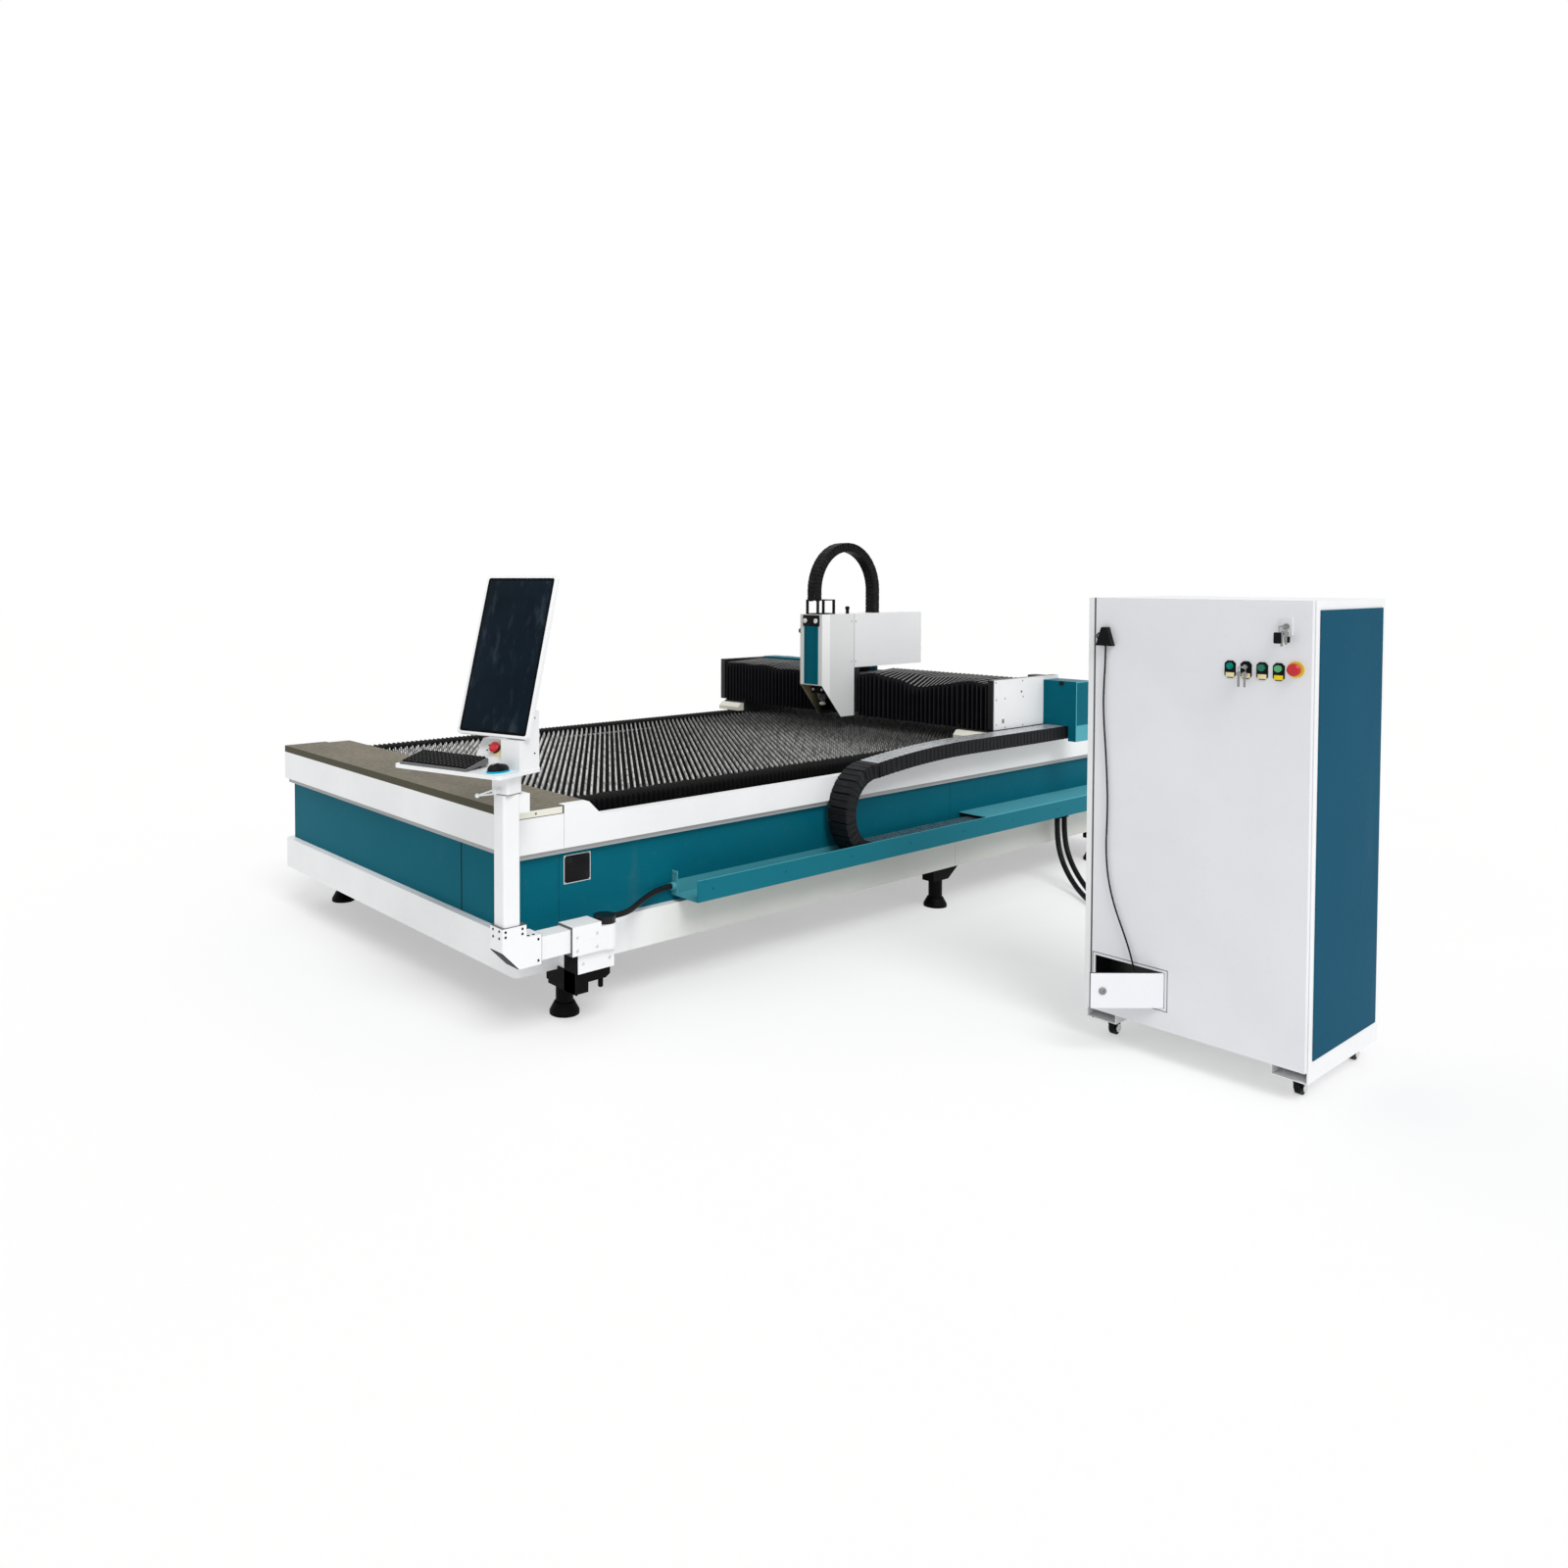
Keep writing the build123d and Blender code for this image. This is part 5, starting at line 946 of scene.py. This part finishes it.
bend_size = (pi * BEND_R / BEND_LINKS, CHAIN_WIDTH, CHAIN_HEIGHT - 2)
bend_path = arc(BEND_X, CHAIN_LOW + BEND_R, BEND_R, 92, 268, CHAIN_Y)
curved_links("chain_bend", bend_path, BEND_LINKS, bend_size, (BEND_R + CHAIN_HEIGHT / 2) / BEND_R,
             chain_plastic, "chain_loop", "x_chain_bend")

ARCH_FRONT, ARCH_REAR, ARCH_Z, ARCH_FOOT = 2726.0, 3240.0, 1593.0, (1566, 1478)
ARCH_WIDTH, ARCH_HEIGHT, ARCH_LINKS, ARCH_FIXED = 64.0, 52.0, 22, 40
ARCH_R = (ARCH_REAR - ARCH_FRONT) / 2
arch_path = [(ARCH_REAR, HEAD_Y, ARCH_FOOT[1])] + arc(ARCH_FRONT + ARCH_R, ARCH_Z, ARCH_R, 0, 180, HEAD_Y)
arch_path += [(ARCH_FRONT, HEAD_Y, ARCH_FOOT[0])]
arch_link = (pi * ARCH_R + 2 * ARCH_Z - sum(ARCH_FOOT)) / (ARCH_LINKS - 1)
for piece in curved_links("arch_chain", arch_path, ARCH_LINKS, (arch_link, ARCH_WIDTH, ARCH_HEIGHT),
                          (ARCH_R + ARCH_HEIGHT / 2) / ARCH_R, black_plastic, None, "arch_chain"):
    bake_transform(piece)

# Console: its head is drawn square to the bed from the post's middle, then turned about the post
POST = Vector((-100.0, -100.0, 0.0))
HEAD_TURN = Matrix.Rotation(radians(17.4), 4, "Z")
TRAY_TOP = 999.0


def swung(x, y, z):
    """Point of the console head, measured from the post's middle."""
    return HEAD_TURN @ Vector((x, y, z)) + POST


# Keyboard: sloped base on two rear feet, rows of keys
BOARD_X0, BOARD_X1, BOARD_Y0, BOARD_Y1, BOARD_SLOPE = -106.0, 14.0, 96.0, 414.0, 0.22
BOARD_REAR = TRAY_TOP + 9 + BOARD_SLOPE * (BOARD_X1 - BOARD_X0)
board_outline = [(BOARD_X0, TRAY_TOP + 1), (BOARD_X1, TRAY_TOP + 14), (BOARD_X1, BOARD_REAR - 3),
                 (BOARD_X1 - 5, BOARD_REAR - 1), (BOARD_X0 + 4, TRAY_TOP + 9), (BOARD_X0, TRAY_TOP + 7)]
board = Stock(swung).prism("y", BOARD_Y0, BOARD_Y1, board_outline)
for y in (BOARD_Y0 + 30, BOARD_Y1 - 30):
    board.block(BOARD_X1 - 24, BOARD_X1 - 14, y - 12, y + 12, TRAY_TOP, TRAY_TOP + 18)
board.place("keyboard_base", key_bed, "console_head", "keyboard")
KEY_DEEP, KEY_WIDE, KEYS, KEY_ROWS = 14.4, 14.8, 16, 6
KEY_STEP = HEAD_TURN @ Vector((0, 19.3, 0))
KEY_ROW_STEP = HEAD_TURN @ Vector((18.8, 0, 18.8 * BOARD_SLOPE))
key_rings = []
for inset, height in ((0, 8), (0.3, 13), (1.6, 16), (2.8, 15.7)):
    x0, x1 = BOARD_X0 + 5 + inset, BOARD_X0 + 5 + KEY_DEEP - inset
    y0, y1 = BOARD_Y0 + 6 + inset, BOARD_Y0 + 6 + KEY_WIDE - inset
    low_z, high_z = TRAY_TOP + height, TRAY_TOP + height + BOARD_SLOPE * KEY_DEEP
    key_rings.append([(x0, y0, low_z), (x1, y0, high_z), (x1, y1, high_z), (x0, y1, low_z)])
Stock(swung).skin(key_rings).place_row("keyboard_keys", key_plastic, "console_head", "keyboard",
                                       count=KEYS, step=KEY_STEP, rows=KEY_ROWS, row_step=KEY_ROW_STEP)

# Mouse: a domed shell with a stripe and a rim, on its pad
PAD_X0, PAD_Y0, PAD_LENGTH, PAD_WIDTH = -103.0, -53.0, 104.0, 96.0
MOUSE_X, MOUSE_Y = PAD_X0 + PAD_LENGTH / 2, PAD_Y0 + PAD_WIDTH / 2
pad = Stock(swung).block(PAD_X0, PAD_X0 + PAD_LENGTH, PAD_Y0, PAD_Y0 + PAD_WIDTH, TRAY_TOP, TRAY_TOP + 3, 1.0)
pad.place("mouse_pad", pad_plastic, "console_head", "mouse")
SHELL = ((0.9, 3.0), (0.98, 5), (1.0, 10), (0.97, 17), (0.86, 24), (0.66, 29), (0.38, 31.8), (0.1, 33))


def mouse_shell(name, length, width, rise, rings, finish, sides=24):
    """Domed oval shell; rings lists (share of the size, height)."""
    shell = []
    for share, height in rings:
        ring = []
        for i in range(sides):
            a = 2 * pi * i / sides
            tilt = 0.06 * height * cos(a) if share < 1 else 0
            ring.append((MOUSE_X + length * share * cos(a), MOUSE_Y + width * share * sin(a),
                         TRAY_TOP + height + rise - tilt))
        shell.append(ring)
    Stock(swung).skin(shell).place(name, finish, "console_head", "mouse", crease=60, slot="black_plastic")


mouse_shell("mouse_shell", 48, 29, 0, SHELL, black_plastic)
mouse_shell("mouse_stripe", 46.5, 8, 0.4, SHELL[3:], white_plastic)
mouse_shell("mouse_rim", 51, 32, 0, ((1, 3), (0.999, 7), (0.96, 8.5)), cyan_plastic)

# Screen: white frame with rounded corners, black border, dark glass
LEAN = radians(17)
SCREEN_X, SCREEN_Y, SCREEN_Z, SCREEN_WIDE, SCREEN_TALL, SCREEN_DEEP = 24.0, 92.0, 1110.0, 330.0, 598.0, 22.0


def leaned(back, side, up):
    """Point of the leaning screen: back from its front, sideways and up from its lower edge's middle."""
    return swung(SCREEN_X + back * cos(LEAN) + up * sin(LEAN), SCREEN_Y + side,
                 SCREEN_Z + up * cos(LEAN) - back * sin(LEAN))


def rounded(back, inset, radius=14.0, steps=4):
    """Ring of the screen's outline with rounded corners, drawn in by an inset."""
    ring = []
    turn = max(2.0, radius - inset * 0.5)
    side, low, high = SCREEN_WIDE / 2 - inset - turn, inset + turn, SCREEN_TALL - inset - turn
    for corner, (s, u) in enumerate(((side, high), (-side, high), (-side, low), (side, low))):
        for i in range(steps + 1):
            a = pi / 2 * (corner + i / steps)
            ring.append((back, s + turn * cos(a), u + turn * sin(a)))
    return ring


def screen_piece(name, rings, finish, node):
    """Piece of the screen; rings lists (depth behind the front, inset)."""
    Stock(leaned).skin([rounded(*ring) for ring in rings]).place(name, finish, "console_head", node)


FRAME_RINGS = ((SCREEN_DEEP, 5), (SCREEN_DEEP - 4, 0), (2.5, 0), (0.6, 0.8), (0, 2.5), (0, 9.5), (2.4, 10.5))
screen_piece("screen_frame", FRAME_RINGS, white_paint, "monitor_housing")
screen_piece("screen_border", ((3.2, 10.4), (1.6, 10.4), (1.2, 10.8)), bezel_plastic, "monitor_housing")
screen_piece("screen_pane", ((2.8, 20), (1.0, 20), (0.8, 20.4)), screen_glass, "monitor_screen")

# Emergency stop's pale plate with two marks, its dark skirt; the plate's cream right half is the stop's
# painted shadow
SLOPE = radians(35)
STOP_X, STOP_Y, STOP_Z = 56.5, 94.0, 1059.7


def sloped(side, up, out):
    """Point on the stop's sloped face: sideways, up the slope, out of it."""
    return swung(STOP_X + up * sin(SLOPE) - out * cos(SLOPE), STOP_Y + side,
                 STOP_Z + up * cos(SLOPE) + out * sin(SLOPE))


# Cream right half: painted shadow of the stop; left half white
for side, y0, y1, finish in (("right", -46, 4, pale_plate), ("left", 4, 50, white_plastic)):
    Stock(sloped).block(y0, y1, -30, 30, 0, 1.4, 0.5).place(f"stop_plate_{side}", finish, "console_head")
stop_skirt = Stock(sloped).lathe((0, 0, 0), UPWARD, [(18, 1), (18, 5), (14, 10), (11.8, 11)], 24)
for mark in (-9, 11):
    stop_skirt.block(34, 42, mark - 2.5, mark + 2.5, 1, 2)
stop_skirt.place("stop_skirt", black_plastic, "console_head")

# Clamp lever: two rods to a ball
LEVER_X, LEVER_Z, LEVER_END, ROD, BALL = -56.8, 934.0, (86.0, 910.0), 3.2, 8.5
lever = Stock(swung).lathe((LEVER_X + 17, 0, LEVER_Z), FORWARD, [(9, 0), (9, 22), (7, 25)], 16)
tip = Vector((LEVER_X, *LEVER_END))
for lift in (-8, 8):
    root = Vector((LEVER_X, 0, LEVER_Z + lift))
    lever.lathe(root, tip - root, [(ROD, 0), (ROD, (tip - root).length)], 10)
lever.lathe(tip, (0, 1, 0), [(BALL * sin(a), -BALL * cos(a)) for a in (0.3, 0.8, 1.3, 1.8, 2.3, 2.8)], 14)
lever.place("clamp_handle", white_paint, "clamp_lever", "clamp_lever", crease=50)

# Screws of the console, rubber strip under the elbow
NECK_RIGHT = HEAD_TURN @ Vector(RIGHTWARD)
screws("neck_screws", [swung(92, -52, z) for z in (1052, 1178)], NECK_RIGHT, 3.5,
       black_plastic, "console_head")
screws("elbow_screws", grid((-132, -62), (-140,), (424, 442)) + grid((5,), (-140,), (316, 392)),
       RIGHTWARD, 4.5, black_plastic, "console_arm")
screws("elbow_front_screws", grid((-145,), (-120, -80), (418, 443)), FORWARD, 4.5,
       black_plastic, "console_arm")
screws("arm_screws", grid((-30, -8), (-128, -72), (408,)), UPWARD, 5, black_plastic, "console_arm")
screws("joint_screws", grid((172, 262), (-145,), (316, 366)), RIGHTWARD, 5.5, chrome, "console_arm")
screws("foot_screws", grid((212, 334), (-126,), (256,)), RIGHTWARD, 6, chrome, "bed")
elbow_strip = Stock().prism("y", -139, -61, [(-143, 368.5), (-77, 302.5), (-79.1, 300.4), (-145.1, 366.4)])
elbow_strip.place("elbow_strip", black_plastic, "console_arm")

# Bed: bare nameplate on the right panel, rivets along the tray
Stock().block(239, 365, 33.8, 35.2, 511, 621, 0.4).place("nameplate", nameplate_finish, "bed")
screws("nameplate_rivets", grid((245, 359), (33.8,), (517, 615)), RIGHTWARD, 2.5, chrome, "bed")
screws("tray_rivets", grid(range(860, 4221, 420), (-126,), (425,)), RIGHTWARD, 4, teal_paint, "bed")
screws("tab_screws", grid((777,), (8, 24), (470,)), FORWARD, 3, black_plastic, "bed")
# Black steel under the console's bracket, back to the leg
CARRIER = [(184, 219.8), (346, 219.8), (346, 190), (326, 178), (245, 178), (245, 141), (184, 141)]
carrier = Stock().prism("y", -114, 0, CARRIER).block(184, 300, -0.5, 60, 141, 209.5)
carrier.block(184, 189.8, -122, -44, 141, 291).lathe((313, -98, 142), UPWARD, ((8, 0), (10, 3), (10, 37)), 12)
carrier.place("console_carrier", frame_paint, "bed")

# Gantry: screws, hole and slots of the end plate, latch of the chain box, saddle skirts, rear cover
END_SCREWS = [(3011, 1118), (3257, 1118), (3264, 1031), (3095, 1030), (3016, 1027),
              (3018, 895), (3098, 877), (3264, 878)]
screws("end_plate_screws", [(x, 19, z) for x, z in END_SCREWS], RIGHTWARD, 4.5, caster_steel, "gantry")
end_slots = Stock().block(3243, 3254, 18.5, 19.5, 1053, 1064)
for x in (3071, 3081):
    end_slots.block(x, x + 7, 18.5, 19.5, 900, 922)
end_slots.place("end_plate_slots", black_plastic, "gantry")
Stock().block(3464, 3469.5, -98, -74, 1086, 1108, 1.5).place("box_latch", black_plastic, "gantry")
skirts = Stock()
for y in (240, 1896):
    skirts.block(3000, 3620, y, y + 4, 772, 879)
skirts.place("saddle_skirts", dark_paint, "gantry")
Stock().block(3345, 3458, 1170, 2060, 1095, 1138, 3).place("beam_rear_cover", teal_paint, "gantry")

# Head: grooved teal strip on the housing, its dark top with two bolts, front plate, ring, knob and stub
STRIP_Y0, STRIP_Y1, STRIP_LOW, STRIP_TOP, HOUSING_X = 982.0, 1088.0, 1058.0, 1392.0, 2698.0
grooved = [(HOUSING_X + 0.5, STRIP_Y0), (HOUSING_X + 0.5, STRIP_Y1), (HOUSING_X - 3, STRIP_Y1)]
for y in (STRIP_Y1 - 16, STRIP_Y0 + 20):
    grooved += [(HOUSING_X - out, y + side) for out, side in ((4, 4), (1, 2), (1, -2), (4, -4))]
grooved += [(HOUSING_X - 3, STRIP_Y0)]
Stock().prism("z", STRIP_LOW, STRIP_TOP, grooved).place("head_strip", teal_paint, "carriage")
head_cap = Stock().block(HOUSING_X - 5, HOUSING_X + 0.5, STRIP_Y0 - 10, STRIP_Y1 + 10, STRIP_TOP, 1456, 2.5)
head_cap.place("head_cap", black_plastic, "carriage")
screws("head_bolts", grid((HOUSING_X - 5,), (996, 1078), (1422,)), FORWARD, 14, white_plastic, "carriage")
Stock().block(2755, 2763, 990, 1084, 1000, 1110, 2).place("head_front_plate", black_plastic, "head")
screws("head_plate_bolts", grid((2755,), (1004, 1070), (1022,)), FORWARD, 8, white_plastic, "head")
ring = Stock().lathe((2800, HEAD_Y, 0), UPWARD, [(6, 927), (13, 929), (19, 934), (19, 944), (12, 948)], 20)
ring.place("nozzle_ring", white_plastic, "head")
screws("housing_screws", grid((2955, 2990), (953,), (1180, 1415)), RIGHTWARD, 4, caster_steel, "carriage")
KNOB_RINGS = ((7, -1), (7, 8), (13, 9), (15, 13), (15, 20), (11, 24))
knobs = Stock().lathe((2720, 1121, 1362), (0, 1, 0), KNOB_RINGS, 18)
knobs.lathe((2958, 990, 1459.5), UPWARD, [(10, 0), (10, 26), (13, 27), (13, 40), (9, 44)], 16)
knobs.place("housing_knobs", black_plastic, "carriage")

# Cabinet: holders with bare plates under the controls, hanging keys, flap's gasket and lock, caster hubs
CONTROL_Y, CONTROL_STEP, CONTROL_Z = -1792.0, -50.0, 1385.0
holder_outline = [(CONTROL_Y + p, CONTROL_Z + q) for p, q in chamfered(-17.5, 17.5, -39, 18, 9)]
holder = Stock().prism("x", DOOR_X - 2.5, DOOR_X + 0.5, holder_outline)
holder.place_row("plate_holders", black_plastic, "cabinet_door", count=4, step=(0, CONTROL_STEP, 0))


def bare_plate(y):
    """Bare plate in a holder."""
    return Stock().block(DOOR_X - 3.6, DOOR_X - 2, y - 13.5, y + 13.5, CONTROL_Z - 36, CONTROL_Z - 21, 0.4)


bare_plate(CONTROL_Y).place_row("bare_plates", pale_plate, "cabinet_door", count=3, step=(0, CONTROL_STEP, 0))
bare_plate(CONTROL_Y + 3 * CONTROL_STEP).place("yellow_bare_plate", yellow_plate, "cabinet_door")


def hoop(centre, axis, radius, wire):
    """Wire ring."""
    section = [(radius + wire * cos(a), wire * sin(a)) for a in (0, 1.57, 3.14, 4.71)]
    return Stock().lathe(centre, axis, section, 18, looped=True)


def hung_keys(name, y, z, drops, body):
    """Keys on a ring through the key in a lock; drops lists (shift aside, length)."""
    x = DOOR_X - 32
    bunch = hoop((x, y, z - 9), (1, 0, 0.25), 12, 1.2)
    for shift, drop in drops:
        bunch.block(x - 1.2, x + 1.2, y + shift - 3.5, y + shift + 3.5, z - 20 - drop, z - 19, 0.6)
        bunch.lathe((x - 1.4, y + shift, z - 22), (1, 0, 0), [(8, 0), (8, 2.8)], 14)
    bunch.place(name, plate_steel, body)


hung_keys("switch_keys", -1842, CONTROL_Z, ((-9, 44), (10, 44)), "key_switch")
hung_keys("lock_keys", -1964, 1520, ((-10, 36), (3, 42)), "door_lock")
fob = Stock().block(DOOR_X - 37, DOOR_X - 29, -1961, -1937, 1466, 1502, 4)
fob.block(DOOR_X - 33, DOOR_X - 27, -1985, -1968, 1470, 1490, 3).place("lock_fob", black_plastic, "door_lock")
hoop((DOOR_X - 4, -1338, 1465), (1, 0, 0), 11, 2.2).place("clip_ring", black_plastic, "cabinet_door")

FLAP_TURN = Matrix.Rotation(radians(51), 4, "Z")
FLAP_HINGE = Vector((DOOR_X, -1587.0, 0.0))


def flapped(x, y, z):
    """Point of the flap, drawn shut, at its open rest."""
    return FLAP_TURN @ (Vector((x, y, z)) - FLAP_HINGE) + FLAP_HINGE


gasket = Stock(flapped)
for y0, y1, z0, z1 in ((-1588, -1335, 310, 311), (-1588, -1335, 189, 190), (-1336, -1335, 189, 311)):
    gasket.block(DOOR_X + 5, DOOR_X + 10, y0, y1, z0, z1)
gasket.place("flap_gasket", black_plastic, "cabinet_flap")
LOCK_RINGS = ((13, -1), (13, 3), (10.5, 4.5), (5, 4.5), (4.5, 2.5))
flap_lock = Stock(flapped).lathe((DOOR_X, -1376, 250), FORWARD, LOCK_RINGS, 20)
flap_lock.place("flap_lock", plate_steel, "cabinet_flap")

CASTER_X, CASTER_Y, TRAIL, WHEEL_Z, CHEEK = (1714.0, 2148.0), (-1351.0, -1984.0), 18.0, 25.0, 16.0
HUB_RINGS = ((15, -0.5), (15, 1), (12, 2), (7, 2), (6, 1))
for i, (x, y, z) in enumerate(grid(CASTER_X, CASTER_Y, (WHEEL_Z,))):
    hubs = Stock()
    for side in (-1, 1):
        hubs.lathe((x + TRAIL, y + side * CHEEK, z), (0, side, 0), HUB_RINGS, 20)
    hubs.place(f"caster_hub_{i + 1}", chrome, f"caster_{i + 1}")

# Stage: pale floor, white surroundings for the camera and for reflections, soft light
AMBIENT, BACKDROP, SHADOW_LIFT, FLOOR = 0.62, 1.0, 0.45, 60.0


def in_view(bench):
    """1 for rays that show a thing to the camera, straight or reflected; 0 for those that carry light."""
    kinds = ("Is Camera Ray", "Is Glossy Ray", "Is Transmission Ray")
    straight, glossy, clear = (bench.add("ShaderNodeLightPath", {}, {}, kind) for kind in kinds)
    return straight.most(glossy).most(clear)


def floor_finish():
    """Pale floor; its shadow is lifted where it is seen, not where it lights the machine."""
    f = Finish("pale_floor", Roughness=0.9, Specular_IOR_Level=0.0)
    f.give("Base Color", f.mix(f.noise(0.7), hue(250, 250, 250), hue(253, 253, 252)))
    glow = f.add("ShaderNodeEmission", {}, {}, "Emission")
    shaded = Signal(f, f.shader.outputs[0])
    lifted = f.add("ShaderNodeMixShader", {}, {0: in_view(f) * SHADOW_LIFT, 1: shaded, 2: glow})
    f.tree.links.new(lifted.socket, f.tree.nodes["Material Output"].inputs["Surface"])
    return f.material


world = bpy.data.worlds.new("studio")
bpy.context.scene.world = world
world.use_nodes = True
sky = Bench(world.node_tree)
background = sky.tree.nodes["Background"]
sky.tree.links.new((in_view(sky) * (BACKDROP - AMBIENT) + AMBIENT).socket, background.inputs[1])
background.inputs[0].default_value = (1.0, 1.0, 1.0, 1)

sun_data = bpy.data.lights.new("ceiling_light", "SUN")
sun_data.energy = 1.7
sun_data.angle = radians(30)
sun = linked("ceiling_light", sun_data)
sun.rotation_euler = Vector((0.3, 0.8, -1.0)).to_track_quat("-Z", "Y").to_euler()

floor_mesh = bpy.data.meshes.new("shop_floor")
corners = [(-FLOOR, -FLOOR, 0), (FLOOR, -FLOOR, 0), (FLOOR, FLOOR, 0), (-FLOOR, FLOOR, 0)]
floor_mesh.from_pydata(corners, [], [(0, 1, 2, 3)])
floor_mesh.materials.append(floor_finish())
linked("shop_floor", floor_mesh)
